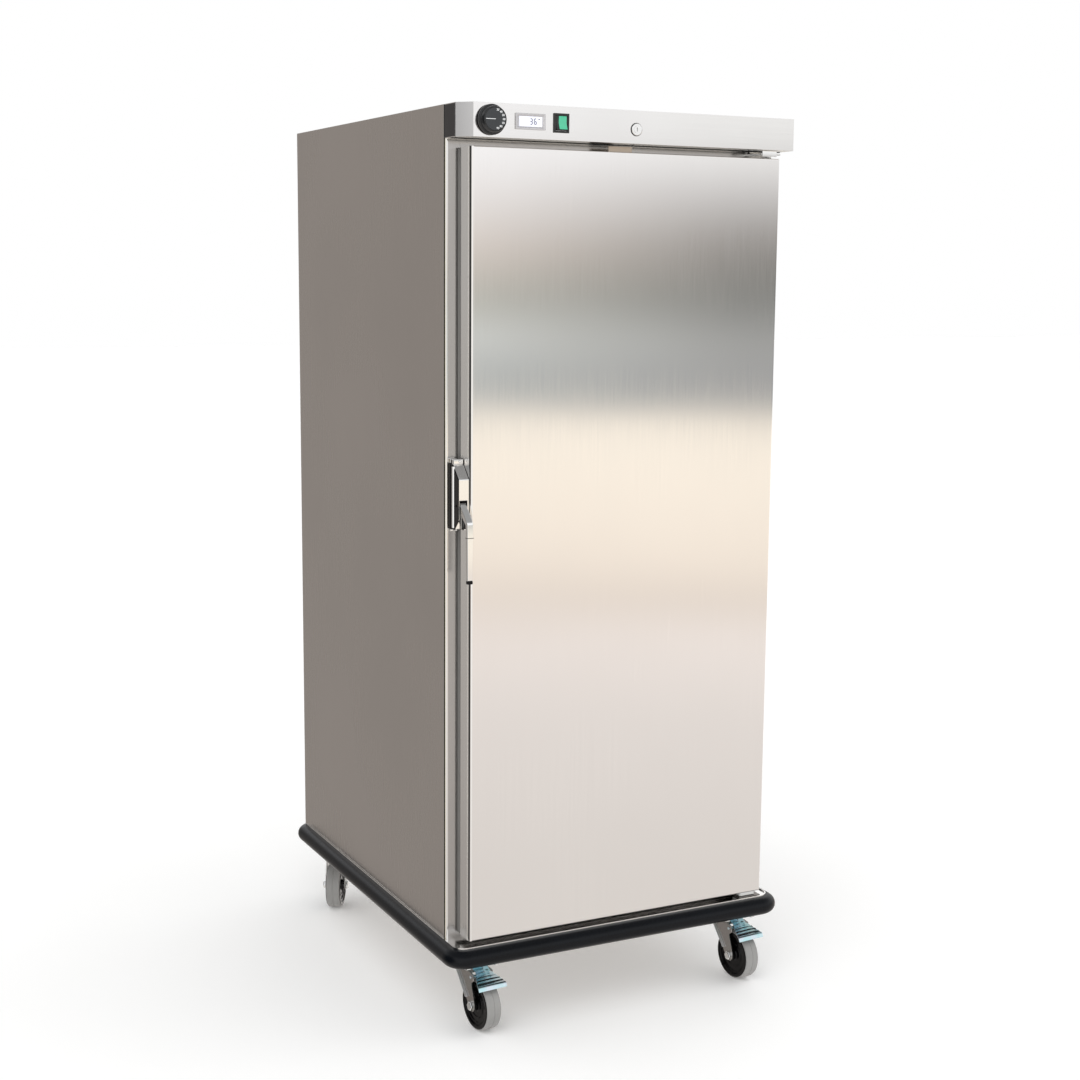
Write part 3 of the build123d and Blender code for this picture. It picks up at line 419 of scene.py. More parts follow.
# ---------------------------------------------------------------- door seal
# A grey silicone extrusion, mitred at the corners and pushed on round the back of the door. It has
# a soft bulb towards the body, with a channel in its face and a groove round its outside.
gasket_rubber = moulded("seal_silicone", (0.20, 0.195, 0.185), 0.5, 300.0, 0.08 * MM)
seal_low, seal_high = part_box("door_gasket")
SEAL_W = 17 * MM
seal = block("door_seal", seal_low, seal_high)
pick(seal, lambda middle, normal: abs(normal.y) > 0.9)
bpy.ops.mesh.inset(thickness=SEAL_W, depth=0)
bpy.ops.mesh.bridge_edge_loops()
leave()
pick(seal, lambda middle, normal: normal.y > 0.9)
bpy.ops.mesh.inset(thickness=5.5 * MM, depth=-3.0 * MM)
leave()
pick(seal, lambda middle, normal: (
    abs(middle.x - seal_low.x) < MM or abs(middle.x - seal_high.x) < MM
    or abs(middle.z - seal_low.z) < MM or abs(middle.z - seal_high.z) < MM
) and abs(normal.y) < 0.1)
bpy.ops.mesh.inset(thickness=3.2 * MM, depth=-1.4 * MM)
leave()
soften(seal, 1.0 * MM)
fit(seal, gasket_rubber, "door", "gasket_rubber", "door_gasket")

# ---------------------------------------------------------------- fascia
# The control housing is one stainless sheet folded over the door, with a cut-off corner at the
# left end and a slot underneath for the lock's tongue. A dark blanking plate closes its left end.
# A strip of black foam lies in the joint along its underside, and its black also paints the shadow
# line along that joint.
FASCIA_SHEET = 1.5 * MM
CORNER_CUT = 24.5 * MM
shell_low, shell_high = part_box("fascia")
housing = block("control_fascia", shell_low, shell_high)
pick(housing, lambda middle, normal: True)
bpy.ops.mesh.bisect(
    plane_co=(shell_low.x, shell_low.y + CORNER_CUT, 0), plane_no=(-1, -1, 0),
    use_fill=True, clear_outer=True,
)
leave()
pick(housing, lambda middle, normal: normal.y > 0.9)
bpy.ops.mesh.delete(type="FACE")
leave()
use_modifier(housing, "SOLIDIFY", thickness=FASCIA_SHEET, offset=-1.0)
lock_low, lock_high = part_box("lock_barrel")
lock_x = (lock_low.x + lock_high.x) / 2
cam_low, cam_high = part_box("lock_cam")
cut(housing, block(
    "slot", (cam_low.x - 5 * MM, cam_low.y - 3 * MM, shell_low.z - MM),
    (lock_x + 10 * MM, cam_high.y + 3 * MM, shell_low.z + 2 * MM),
))
soften(housing, 0.7 * MM)
fascia_steel = brushed_steel("fascia_sheet", (0.80, 0.79, 0.775), 0.11, CROSSWISE, streak=0.01)
fit(housing, fascia_steel, "cabinet", "outer_stainless", "fascia")

dark_plate = brushed_steel("darkened_plate", (0.085, 0.085, 0.09), 0.35)
end_plate = block(
    "fascia_end_plate",
    (shell_low.x - 0.5 * MM, shell_low.y + CORNER_CUT + 1.5 * MM, shell_low.z + 1.5 * MM),
    (shell_low.x + 0.3 * MM, shell_high.y - 0.5 * MM, shell_high.z - 1.5 * MM),
)
soften(end_plate, 0.2 * MM)
fit(end_plate, dark_plate, "cabinet", "outer_stainless")

# Black strip along the fascia's underside: partly a foam seal, partly a painted shadow line.
FOAM_BACK = 44 * MM
FOAM_W = 7 * MM
foam = block(
    "fascia_foam_shadow_strip",
    (shell_low.x + 2 * MM, shell_low.y + FOAM_BACK, shell_low.z - 0.8 * MM),
    (shell_high.x - MM, shell_low.y + FOAM_BACK + FOAM_W, shell_low.z + MM),
)
soften(foam, 0.3 * MM)
foam_and_shadow_black = moulded("foam_and_shadow_black", (0.012, 0.012, 0.012), 0.8, 400.0, 0.05 * MM)
fit(foam, foam_and_shadow_black, "cabinet", "gasket_rubber")

# ---------------------------------------------------------------- thermostat dial
# A black moulded knob with a wide skirt and a tapered grip. Its dark face carries printed white
# figures on the right half and a white line from the rim to the middle.
knob_low, knob_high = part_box("thermostat_knob")
dial_x = (knob_low.x + knob_high.x) / 2
dial_z = (knob_low.z + knob_high.z) / 2
DIAL_R = (knob_high.x - knob_low.x) / 2
dial_back = shell_low.y - 2.3 * MM
dial_depth = dial_back - knob_low.y
gloss_black = moulded("knob_gloss_black", (0.011, 0.012, 0.013), 0.22, 500.0, 0.02 * MM)
knob = turned("dial_knob", [
    (0.0, 0.0), (DIAL_R - 0.6 * MM, 0.0), (DIAL_R, 0.8 * MM), (DIAL_R, 3.6 * MM),
    (DIAL_R - 0.8 * MM, 4.6 * MM), (DIAL_R - 3.2 * MM, 5.4 * MM), (DIAL_R - 4.4 * MM, dial_depth - 2.0 * MM),
    (DIAL_R - 5.2 * MM, dial_depth - 0.6 * MM), (DIAL_R - 6.2 * MM, dial_depth - 0.2 * MM),
    (DIAL_R - 7.0 * MM, dial_depth - 0.7 * MM), (0.0, dial_depth - 0.7 * MM),
], (dial_x, dial_back, dial_z), (0, -1, 0), 72)
fit(knob, gloss_black, "thermostat_knob", "dial_plastic", "thermostat_knob")

face_grey = moulded("dial_face_grey", (0.030, 0.034, 0.038), 0.38, 500.0, 0.02 * MM)
FACE_R = DIAL_R - 7.2 * MM
face = turned("dial_face", [
    (0.0, 0.35 * MM), (FACE_R - 0.3 * MM, 0.35 * MM), (FACE_R, 0.1 * MM), (FACE_R, 0.0), (0.0, 0.0),
], (dial_x, knob_low.y + 0.7 * MM, dial_z), (0, -1, 0), 64)
fit(face, face_grey, "thermostat_knob", "dial_plastic")

print_white = moulded("printed_white", (0.85, 0.86, 0.86), 0.5, 400.0, 0.01 * MM, 0.04)
mark_y = knob_low.y + 0.1 * MM


def printed(name, words, size, x, z, y):
    """Printed figures that stand 0.15 mm off a face that looks along -Y."""
    bpy.ops.object.select_all(action="DESELECT")
    bpy.ops.object.text_add(rotation=(pi / 2, 0, 0))
    figure = bpy.context.active_object
    figure.data.body = words
    figure.data.size = size
    figure.data.extrude = 0.15 * MM
    figure.data.align_x = "CENTER"
    figure.data.align_y = "CENTER"
    figure.data.offset = 0.02 * size
    bpy.ops.object.convert(target="MESH")
    figure = bpy.context.active_object
    figure.name = name
    figure.location = (x, y, z)
    bpy.ops.object.transform_apply(location=True, rotation=True, scale=True)
    return figure


FIGURES = ("30", "40", "50", "60", "70", "80", "90")
FIRST_ANGLE = 74
ring = FACE_R - 3.2 * MM
figures = []
for k, words in enumerate(FIGURES):
    angle = radians(FIRST_ANGLE - 2 * FIRST_ANGLE * k / (len(FIGURES) - 1))
    figures.append(printed(
        f"figure_{words}", words, 5.2 * MM, dial_x + ring * cos(angle), dial_z + ring * sin(angle), mark_y
    ))
pointer = block(
    "pointer", (dial_x - FACE_R + 1.5 * MM, mark_y - 0.1 * MM, dial_z - 0.55 * MM),
    (dial_x + 0.5 * MM, mark_y + 0.3 * MM, dial_z + 0.55 * MM),
)
fit(joined("dial_print", [pointer, *figures]), print_white, "thermostat_knob", "dial_plastic")

# ---------------------------------------------------------------- panel thermometer
# A clip-in panel meter: a silver-grey moulded frame with a sunk edge, a pale liquid-crystal pane
# that is given a faint glow in its own tint (painted light), and dark segments that make the reading.
frame_low, frame_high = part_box("display_housing")
pane_low, pane_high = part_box("display_window")
silver = moulded("silver_moulding", (0.56, 0.55, 0.56), 0.25, 500.0, 0.02 * MM)
silver.node_tree.nodes["Principled BSDF"].inputs["Metallic"].default_value = 0.55
meter = block("meter_frame", frame_low, (frame_high.x, shell_low.y + 0.5 * MM, frame_high.z))
pick(meter, lambda middle, normal: normal.y < -0.9)
bpy.ops.mesh.inset(thickness=3.0 * MM, depth=0)
bpy.ops.mesh.inset(thickness=1.6 * MM, depth=-1.3 * MM)
leave()
soften(meter, 0.7 * MM, 3)
fit(meter, silver, "cabinet", "bezel_plastic", "display_housing")

pane_white, tree, shader = recipe("liquid_crystal", 0.0, 0.18)
glow = pattern(tree, EVEN, 60.0, 3.0)
patch = spread(tree, glow, 0.3, 0.7, 0.0, 1.0)
tint = between(tree, patch, shade((0.72, 0.74, 0.88)), shade((0.88, 0.89, 0.96)))
tree.links.new(tint, shader.inputs["Base Color"])
# The pane glows faintly in its own tint: painted light that brightens it.
tree.links.new(tint, shader.inputs["Emission Color"])
shader.inputs["Emission Strength"].default_value = 0.25
tree.links.new(spread(tree, glow, 0.3, 0.7, 0.12, 0.22), shader.inputs["Roughness"])
ripple = add(tree, "ShaderNodeBump", {"Height": glow, "Strength": 0.15, "Distance": 0.01 * MM})
tree.links.new(ripple.outputs[0], shader.inputs["Normal"])
glass = block("meter_pane", pane_low, pane_high)
pick(glass, lambda middle, normal: normal.y < -0.9)
bpy.ops.mesh.inset(thickness=1.2 * MM, depth=0.25 * MM)
leave()
soften(glass, 0.15 * MM)
fit(glass, pane_white, "cabinet", "display_glass", "display_window")

crystal_dark = moulded("dark_segments", (0.045, 0.045, 0.07), 0.35, 400.0, 0.01 * MM)
DIGIT_W = 5.4 * MM
DIGIT_H = 11.0 * MM
DIGIT_PITCH = 8.0
BAR = 1.4 * MM
BARS = {
    "a": (0, 1, True), "g": (0, 0, True), "d": (0, -1, True),
    "b": (1, 0.5, False), "c": (1, -0.5, False), "f": (-1, 0.5, False), "e": (-1, -0.5, False),
}
SHOWN = {"3": "abgcd", "6": "afgedc"}


def segment(x, z, flat):
    """One segment of the reading, lying flat or standing up."""
    half_x = (DIGIT_W / 2 - 0.7 * BAR) if flat else BAR / 2
    half_z = BAR / 2 if flat else (DIGIT_H / 4 - 0.7 * BAR)
    y = pane_low.y - 0.3 * MM
    return block("segment", (x - half_x, y, z - half_z), (x + half_x, y + 0.2 * MM, z + half_z))


reading = []
pane_x = (pane_low.x + pane_high.x) / 2
pane_z = (pane_low.z + pane_high.z) / 2
for k, digit in enumerate("36"):
    digit_x = pane_x + (1 + DIGIT_PITCH * k) * MM
    for bar in SHOWN[digit]:
        across, up, flat = BARS[bar]
        bar_x = digit_x + across * (DIGIT_W - BAR) / 2
        reading.append(segment(bar_x, pane_z + up * (DIGIT_H - BAR) / 2, flat))
reading.append(segment(pane_x + 17 * MM, pane_z + 4.2 * MM, True))
fit(joined("meter_reading", reading), crystal_dark, "cabinet", "display_glass")

# ---------------------------------------------------------------- rocker switch
# A snap-in switch: a black moulded collar with a deep mouth, and a black rocker that is dished
# across its middle. A translucent green lens, lit from inside, fills the rocker's right side.
collar_low, collar_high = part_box("switch_housing")
rocker_low, rocker_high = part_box("switch_rocker")
satin_black = moulded("switch_black", (0.012, 0.013, 0.013), 0.35, 500.0, 0.03 * MM)
collar = block("switch_collar", collar_low, (collar_high.x, shell_low.y + 1.5 * MM, collar_high.z))
pick(collar, lambda middle, normal: normal.y < -0.9)
bpy.ops.mesh.inset(thickness=3.6 * MM, depth=0)
bpy.ops.mesh.inset(thickness=0.3 * MM, depth=-3.2 * MM)
leave()
soften(collar, 0.6 * MM, 3)
fit(collar, satin_black, "cabinet", "black_plastic", "switch_housing")

pivot = Vector(joint_named["power_rocker"]["pos_m"])
ROCKER_H = 27 * MM
ROCKER_TILT = 9
LENS_X = rocker_low.x + 5.5 * MM


def dished_rocker(name, low_x, high_x, half_h, proud):
    """Block with a shallow V pressed in its face, tipped about the pivot to its off position."""
    piece = block(
        name, (low_x, pivot.y - 5.0 * MM - proud, pivot.z - half_h),
        (high_x, pivot.y + 2.0 * MM, pivot.z + half_h),
    )
    pick(piece, lambda middle, normal: True)
    bpy.ops.mesh.bisect(plane_co=pivot, plane_no=(0, 0, 1))
    leave()
    pick(piece, lambda place, vertex: abs(place.z - pivot.z) < 0.1 * MM and place.y < pivot.y, "VERT")
    bpy.ops.transform.translate(value=(0, 2.6 * MM, 0))
    leave()
    pick(piece, lambda middle, normal: True)
    bpy.ops.transform.rotate(value=radians(ROCKER_TILT), orient_axis="X", center_override=pivot)
    leave()
    soften(piece, 0.6 * MM, 3)
    return piece


PLAY = 0.2 * MM
rocker = dished_rocker(
    "rocker_body", rocker_low.x + PLAY, rocker_high.x - PLAY, ROCKER_H / 2 - 0.3 * MM, -0.4 * MM
)
fit(rocker, satin_black, "power_switch", "black_plastic", "switch_rocker")
lens = dished_rocker("rocker_lens", LENS_X, rocker_high.x - 0.4 * MM, ROCKER_H / 2 - 1.6 * MM, 0.0)
lit_green = moulded("lit_green", (0.045, 0.42, 0.24), 0.2, 400.0, 0.01 * MM, 0.2)
lit_shader = lit_green.node_tree.nodes["Principled BSDF"]
lit_shader.inputs["Emission Color"].default_value = (0.10, 0.55, 0.32, 1.0)
lit_shader.inputs["Emission Strength"].default_value = 0.22
lit_shader.inputs["Coat Weight"].default_value = 0.5
fit(lens, lit_green, "power_switch", "green_rocker")

# ---------------------------------------------------------------- lock
# A plated cam lock: a round flange with a bright rim on a thin black seal, and a plug with the
# key's slot.
lock_z = (lock_low.z + lock_high.z) / 2
LOCK_R = 11 * MM
PLUG_R = 6.5 * MM
plated = brushed_steel("bright_plate", (0.86, 0.86, 0.85), 0.13, EVEN, streak=0.01)
flange = turned("lock_flange", [
    (PLUG_R + 0.1 * MM, 1.4 * MM), (PLUG_R + 0.1 * MM, 2.6 * MM), (PLUG_R + 0.8 * MM, 3.0 * MM),
    (LOCK_R - 1.4 * MM, 2.9 * MM), (LOCK_R - 0.4 * MM, 2.2 * MM), (LOCK_R, 1.0 * MM), (LOCK_R, -0.5 * MM),
    (PLUG_R + 0.1 * MM, -0.5 * MM), (PLUG_R + 0.1 * MM, 1.4 * MM),
], (lock_x, shell_low.y, lock_z), (0, -1, 0), 48)
fit(flange, plated, "cabinet", "chrome_casting")
SEAT_R = LOCK_R + 1.1 * MM
seat = turned("lock_seat", [
    (LOCK_R - 1.0 * MM, 0.9 * MM), (SEAT_R - 0.3 * MM, 0.9 * MM), (SEAT_R, 0.6 * MM), (SEAT_R, -0.2 * MM),
    (LOCK_R - 1.0 * MM, -0.2 * MM), (LOCK_R - 1.0 * MM, 0.9 * MM),
], (lock_x, shell_low.y, lock_z), (0, -1, 0), 48)
fit(seat, satin_black, "cabinet", "black_plastic")
core = turned("lock_core_plug", [
    (0.0, 3.4 * MM), (PLUG_R - 0.7 * MM, 3.4 * MM), (PLUG_R, 2.7 * MM), (PLUG_R, -1.0 * MM), (0.0, -1.0 * MM),
], (lock_x, shell_low.y, lock_z), (0, -1, 0), 40)
cut(core, block(
    "keyway", (lock_x - 0.9 * MM, shell_low.y - 5 * MM, lock_z - 3.6 * MM),
    (lock_x + 0.9 * MM, shell_low.y - 0.5 * MM, lock_z + 3.6 * MM),
))
fit(core, plated, "lock_core", "chrome_casting")
dress(plated, "lock_barrel", "lock_plug")
dress(brushed_steel("cam_steel", (0.55, 0.54, 0.53), 0.3, EVEN), "lock_cam")

# ---------------------------------------------------------------- edge latch
# A die-cast latch on the door's edge: black sides, a bright plated front with a sloping top, a
# bright chamfered rim round its base, and a screwed foot at the top. The black on the sides stands
# partly for the black base and partly for a painted dark reflection in the plated cover; the black
# on the underside is painted shade. A black strike with plated feet faces it on the body.
latch_low, latch_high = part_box("latch_case")
strike_low, strike_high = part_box("latch_strike")
lever_pin = Vector(joint_named["latch_lever_pivot"]["pos_m"])
lever_low, lever_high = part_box("latch_lever")
casting = brushed_steel("plated_casting", (0.86, 0.86, 0.85), 0.1, EVEN, streak=0.01)
black = moulded("black_moulding", (0.0025, 0.0025, 0.003), 0.25, 600.0, 0.03 * MM)
black.node_tree.nodes["Principled BSDF"].inputs["Specular IOR Level"].default_value = 0.22
FOOT = 9 * MM
case = block("latch_case_shell", latch_low, (latch_high.x, latch_high.y, latch_high.z - FOOT))
pick(case, lambda middle, normal: True)
bpy.ops.mesh.bisect(
    plane_co=(0, latch_high.y - 6 * MM, latch_high.z - FOOT), plane_no=(0, -26.4, 26.4),
    use_fill=True, clear_outer=True,
)
leave()
pick(case, lambda middle, normal: True)
bpy.ops.mesh.bisect(
    plane_co=(0, latch_low.y, latch_low.z + 20 * MM), plane_no=(0, -20, -11), use_fill=True, clear_outer=True
)
leave()
cut(case, block(
    "slot", (lever_low.x - 0.8 * MM, latch_low.y - MM, latch_low.z - MM),
    (lever_high.x + 0.8 * MM, latch_high.y - 9 * MM, lever_pin.z + 9.5 * MM),
))
soften(case, 1.8 * MM, 3)
# Sides take the black as the black base plus a painted dark reflection; the underside's black is painted
# shade.
case.data.materials.append(casting)
case.data.materials.append(black)
for side in case.data.polygons:
    side.material_index = 1 if abs(side.normal.x) > 0.3 or side.normal.z < -0.3 else 0
fit(case, None, "door", "chrome_casting", "latch_case")

RIM_X = latch_low.x - 2.4 * MM
RIM_Y = latch_high.y - 14 * MM
rim = block(
    "base_rim", (RIM_X, RIM_Y, latch_low.z + 4 * MM),
    (latch_low.x + MM, RIM_Y + 6 * MM, latch_high.z - FOOT - 4 * MM),
)
pick(rim, lambda middle, normal: True)
bpy.ops.mesh.bisect(
    plane_co=(RIM_X, RIM_Y + 2.4 * MM, 0), plane_no=(-0.56, -0.83, 0), use_fill=True, clear_outer=True
)
leave()
soften(rim, 0.25 * MM)
foot_y = latch_high.y - 9 * MM
foot = block(
    "foot", (latch_low.x + MM, foot_y, latch_high.z - FOOT - MM),
    (latch_high.x - MM, latch_high.y, latch_high.z),
)
soften(foot, 1.8 * MM, 3)
foot_x = (latch_low.x + latch_high.x) / 2 + 3 * MM
pattern_screw = pan_screw("pattern_screw", 3.0 * MM)
foot_screw = copy_of(
    pattern_screw, "foot_screw", facing((foot_x, foot_y, latch_high.z - 4.6 * MM), (0, -1, 0))
)
bpy.data.objects.remove(pattern_screw)
fit(joined("latch_trim", [foot, foot_screw, rim]), casting, "door", "chrome_casting")

strike = block("strike_block", strike_low, (strike_high.x, strike_high.y, strike_high.z - FOOT))
soften(strike, 1.4 * MM, 3)
fit(strike, black, "cabinet", "black_plastic", "latch_strike")
feet = []
upper_foot = (strike_high.z - FOOT + 0.2 * MM, strike_high.z)
lower_foot = (strike_low.z - 5 * MM, strike_low.z - 0.2 * MM)
for low_z, high_z in (upper_foot, lower_foot):
    tab = block(
        "strike_foot", (strike_low.x + MM, strike_low.y + 3 * MM, low_z),
        (strike_high.x - 4 * MM, strike_high.y, high_z),
    )
    soften(tab, 1.4 * MM, 3)
    feet.append(tab)
fit(joined("strike_feet", feet), casting, "cabinet", "chrome_casting")

# ---------------------------------------------------------------- latch lever
# A plated lever: an arm that slopes out from the pin to the knee, a straight hanging grip that
# narrows to a black tip, and a fine joint line below the knee.
ARM_T = 9 * MM
KNEE_Y = lever_low.y + ARM_T / 2
KNEE_Z = lever_pin.z - 29 * MM
lever = block(
    "lever_arm", (lever_low.x, lever_low.y, lever_low.z + 6 * MM),
    (lever_high.x, lever_low.y + ARM_T, KNEE_Z - 3 * MM),
)
pick(lever, lambda middle, normal: normal.z > 0.9)
bpy.ops.mesh.extrude_region_move(TRANSFORM_OT_translate={"value": (0, 3 * MM, 5 * MM)})
knee = Vector(((lever_low.x + lever_high.x) / 2, KNEE_Y + 3 * MM, KNEE_Z + 2 * MM))
bpy.ops.transform.rotate(value=radians(52), orient_axis="X", center_override=knee)
bpy.ops.mesh.extrude_region_move(
    TRANSFORM_OT_translate={"value": (0, lever_pin.y - knee.y, lever_pin.z - knee.z)}
)
bpy.ops.transform.resize(value=(1.0, 1.75, 1.75), center_override=(knee.x, lever_pin.y, lever_pin.z))
leave()
pick(lever, lambda middle, normal: normal.z < -0.9)
bpy.ops.transform.resize(value=(0.86, 0.8, 1.0), center_override=(knee.x, KNEE_Y, lever_low.z))
leave()
soften(lever, 2.8 * MM, 4)
half = (lever_high.x - lever_low.x) / 2
boss = turned("lever_boss", [
    (0.0, -half), (7.2 * MM, -half), (8.0 * MM, -half + 0.8 * MM),
    (8.0 * MM, half - 0.8 * MM), (7.2 * MM, half), (0.0, half),
], (knee.x, lever_pin.y, lever_pin.z), (1, 0, 0), 40)
fit(joined("lever_grip", [lever, boss]), casting, "latch_lever", "chrome_casting", "latch_lever")
tip = block(
    "lever_tip", (lever_low.x + 0.9 * MM, lever_low.y + 0.6 * MM, lever_low.z),
    (lever_high.x - 0.9 * MM, lever_low.y + ARM_T - 0.6 * MM, lever_low.z + 6.5 * MM),
)
soften(tip, 1.6 * MM, 3)
collar_band = block(
    "joint_line", (lever_low.x - 0.1 * MM, lever_low.y - 0.15 * MM, KNEE_Z - 27 * MM),
    (lever_high.x + 0.1 * MM, lever_low.y + ARM_T + 0.1 * MM, KNEE_Z - 25.8 * MM),
)
soften(collar_band, 0.4 * MM)
fit(joined("lever_end_and_line", [tip, collar_band]), black, "latch_lever", "black_plastic")
dress(brushed_steel("ground_pins", (0.6, 0.6, 0.6), 0.25, EVEN), "hinge_pins", "latch_pin")

# ---------------------------------------------------------------- hinges and keeper
# Two plated brackets are screwed to the body above and below the door. Each holds a ground pin,
# which turns in a white nylon bush in the door. The lower bracket is given a dark brown-grey copy of
# the plate: painted shade. The keeper is a small bronze-toned angle.


def softened_copy(name, node, width, segments=2):
    """A CAD piece's own shape, merged, with its sharp edges rounded."""
    piece = copy_of(nodes[node], name, Matrix.Identity(4))
    piece.data.materials.clear()
    only(piece)
    bpy.ops.object.mode_set(mode="EDIT")
    bpy.ops.mesh.select_mode(type="VERT")
    bpy.ops.mesh.select_all(action="SELECT")
    bpy.ops.mesh.remove_doubles(threshold=0.002 * MM)
    bpy.ops.mesh.dissolve_limited(angle_limit=radians(1.0))
    leave()
    soften(piece, width, segments)
    return piece


brackets = softened_copy("hinge_plates", "hinge_brackets", 0.5 * MM)
brackets.data.materials.append(casting)
brackets.data.materials.append(brushed_steel("painted_shade_bracket", (0.26, 0.24, 0.225), 0.3, CROSSWISE))
# The lower bracket, below 1 m, takes the dark brown-grey copy of the plate: painted shade.
for face in brackets.data.polygons:
    face.material_index = 1 if face.center.z < 1.0 else 0
fit(brackets, None, "cabinet", "chrome_casting", "hinge_brackets")
bushes = softened_copy("nylon_bushes", "hinge_bushes", 0.8 * MM, 3)
nylon = moulded("nylon", (0.82, 0.82, 0.80), 0.4, 300.0, 0.03 * MM, 0.04)
fit(bushes, nylon, "door", "nylon", "hinge_bushes")
keeper = softened_copy("keeper_angle", "lock_keeper", 0.4 * MM)
bronze = brushed_steel("bronze_steel", (0.52, 0.44, 0.36), 0.3, CROSSWISE)
fit(keeper, bronze, "door", "base_stainless", "lock_keeper")

# ---------------------------------------------------------------- mains inlet
# A black moulded appliance inlet is screwed to the back near the top. Its three blades stand in a
# deep well, which is open at the back.
inlet_low, inlet_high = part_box("power_inlet")
inlet_z = (inlet_low.z + inlet_high.z) / 2
inlet = softened_copy("inlet_moulding", "power_inlet", 0.5 * MM)
fit(inlet, black, "cabinet", "black_plastic", "power_inlet")
small_screw = pan_screw("small_screw", 2.6 * MM)
inlet_screws = [
    copy_of(small_screw, f"inlet_screw_{k}", facing((x, inlet_high.y, inlet_z), (0, 1, 0)))
    for k, x in enumerate((inlet_low.x + 4.6 * MM, inlet_high.x - 4.6 * MM))
]
fit(joined("inlet_screws", inlet_screws), screw_steel, "cabinet", "pin_steel")
dress(moulded("thermostat_case", (0.55, 0.53, 0.48), 0.45, 300.0, 0.05 * MM), "thermostat_body")

# ---------------------------------------------------------------- tray rack
# Angle ledges of folded stainless sheet, a pair to each tier, are riveted to three hollow posts on
# each wall. The trays slide in on their upper edges.
ledge_steel = brushed_steel("ledge_sheet", (0.68, 0.68, 0.67), 0.25, CROSSWISE)
angles = softened_copy("tray_ledge_angles", "tray_ledges", 0.35 * MM)
fit(angles, ledge_steel, "cabinet", "inner_stainless", "tray_ledges")
posts = softened_copy("rack_post_tubes", "rack_posts", 0.5 * MM)
fit(posts, lining_steel, "cabinet", "inner_stainless", "rack_posts")
ledges_low, ledges_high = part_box("tray_ledges")
TIERS = 11
TIER_PITCH = 120 * MM
LEG = 25 * MM
END_POST = 30 * MM
rivet = turned("rivet", [
    (0.0, 1.2 * MM), (1.6 * MM, 1.0 * MM), (2.7 * MM, 0.4 * MM), (3.0 * MM, 0.0), (0.0, 0.0),
], (0, 0, 0), (0, 0, 1), 16)
rivets = []
for tier in range(TIERS):
    z = ledges_low.z + LEG / 2 + tier * TIER_PITCH
    for y in (ledges_low.y + END_POST, (ledges_low.y + ledges_high.y) / 2, ledges_high.y - END_POST):
        for x, inward in ((ledges_low.x + 1.5 * MM, 1), (ledges_high.x - 1.5 * MM, -1)):
            rivets.append(copy_of(rivet, f"rivet_{len(rivets)}", facing((x, y, z), (inward, 0, 0))))
bpy.data.objects.remove(rivet)
fit(joined("ledge_rivets", rivets), screw_steel, "cabinet", "inner_stainless")

# ---------------------------------------------------------------- water pan and heater
# A pressed gastronorm pan stands on the chamber floor. Behind it is a sheathed element, bent in
# hairpins and browned by its own heat.
pan = softened_copy("pressed_pan", "water_pan", 0.6 * MM)
fit(pan, ledge_steel, "cabinet", "inner_stainless", "water_pan")
element = brushed_steel("oxidised_sheath", (0.20, 0.165, 0.14), 0.5, EVEN, cloudy=0.3)
dress(element, "heater_element")

# ---------------------------------------------------------------- fan
# Five pitched aluminium blades turn on a black motor, behind a plated guard of rings and spokes
# that four studs hold off the chamber's back. The thermostat's copper bulb is clipped to the roof.
blades = softened_copy("pitched_blades", "fan_blade", 0.4 * MM)
aluminium = brushed_steel("blade_aluminium", (0.74, 0.75, 0.76), 0.35, EVEN)
fit(blades, aluminium, "fan", "fan_metal", "fan_blade")
guard = softened_copy("ring_guard", "fan_guard", 1.0 * MM, 3)
fit(guard, casting, "cabinet", "wire_chrome", "fan_guard")
fit(softened_copy("motor_case", "fan_motor", 0.8 * MM), black, "cabinet", "black_plastic", "fan_motor")
dress(brushed_steel("copper_bulb", (0.72, 0.42, 0.28), 0.3, EVEN), "temperature_bulb")
guard_low, guard_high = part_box("fan_guard")
guard_z = (guard_low.z + guard_high.z) / 2
STUD_RING = 91 * MM
guard_screws = []
for k in range(4):
    angle = radians(45 + 90 * k)
    stud = (STUD_RING * cos(angle), guard_low.y, guard_z + STUD_RING * sin(angle))
    guard_screws.append(copy_of(small_screw, f"guard_screw_{k}", facing(stud, (0, -1, 0))))
bpy.data.objects.remove(small_screw)
fit(joined("guard_screws", guard_screws), screw_steel, "cabinet", "pin_steel")

# ---------------------------------------------------------------- castor wheels
# Each wheel is a glossy black moulded centre with raised rings, and a pale grey rubber tread with a
# groove round its middle. Modelled once in the castor's own place, then copied to the corners.
CORNERS = ("front_left", "front_right", "rear_left", "rear_right")
WHEEL_R = 50 * MM
TRAIL = 36 * MM
AXLE = Vector((0, -TRAIL, WHEEL_R))


def castor_place(corner):
    """Matrix that moves a piece from the pattern castor, at the origin, to a corner."""
    swivel = joint_named[f"{corner}_castor_swivel"]["pos_m"]
    axis = joint_named[f"{corner}_wheel_spin"]["axis"]
    turn = Matrix.Rotation(Vector((1, 0)).angle_signed(Vector((axis[0], -axis[1]))), 4, "Z")
    return Matrix.Translation((swivel[0], swivel[1], 0)) @ turn


def at_corners(pattern_piece, part, body, slot, material, corners=CORNERS, node=None):
    """Copies a pattern castor piece to the corners, and throws the pattern away."""
    for corner in corners:
        twin = copy_of(pattern_piece, f"{corner}_{part}", castor_place(corner))
        fit(twin, material, body.format(corner), slot, *([node.format(corner)] if node else []))
    bpy.data.objects.remove(pattern_piece)


def mirrored(half_profile):
    """A wheel outline from its left half, closed."""
    other = [(radius, -along) for radius, along in reversed(half_profile)]
    return [*half_profile, *other, half_profile[0]]


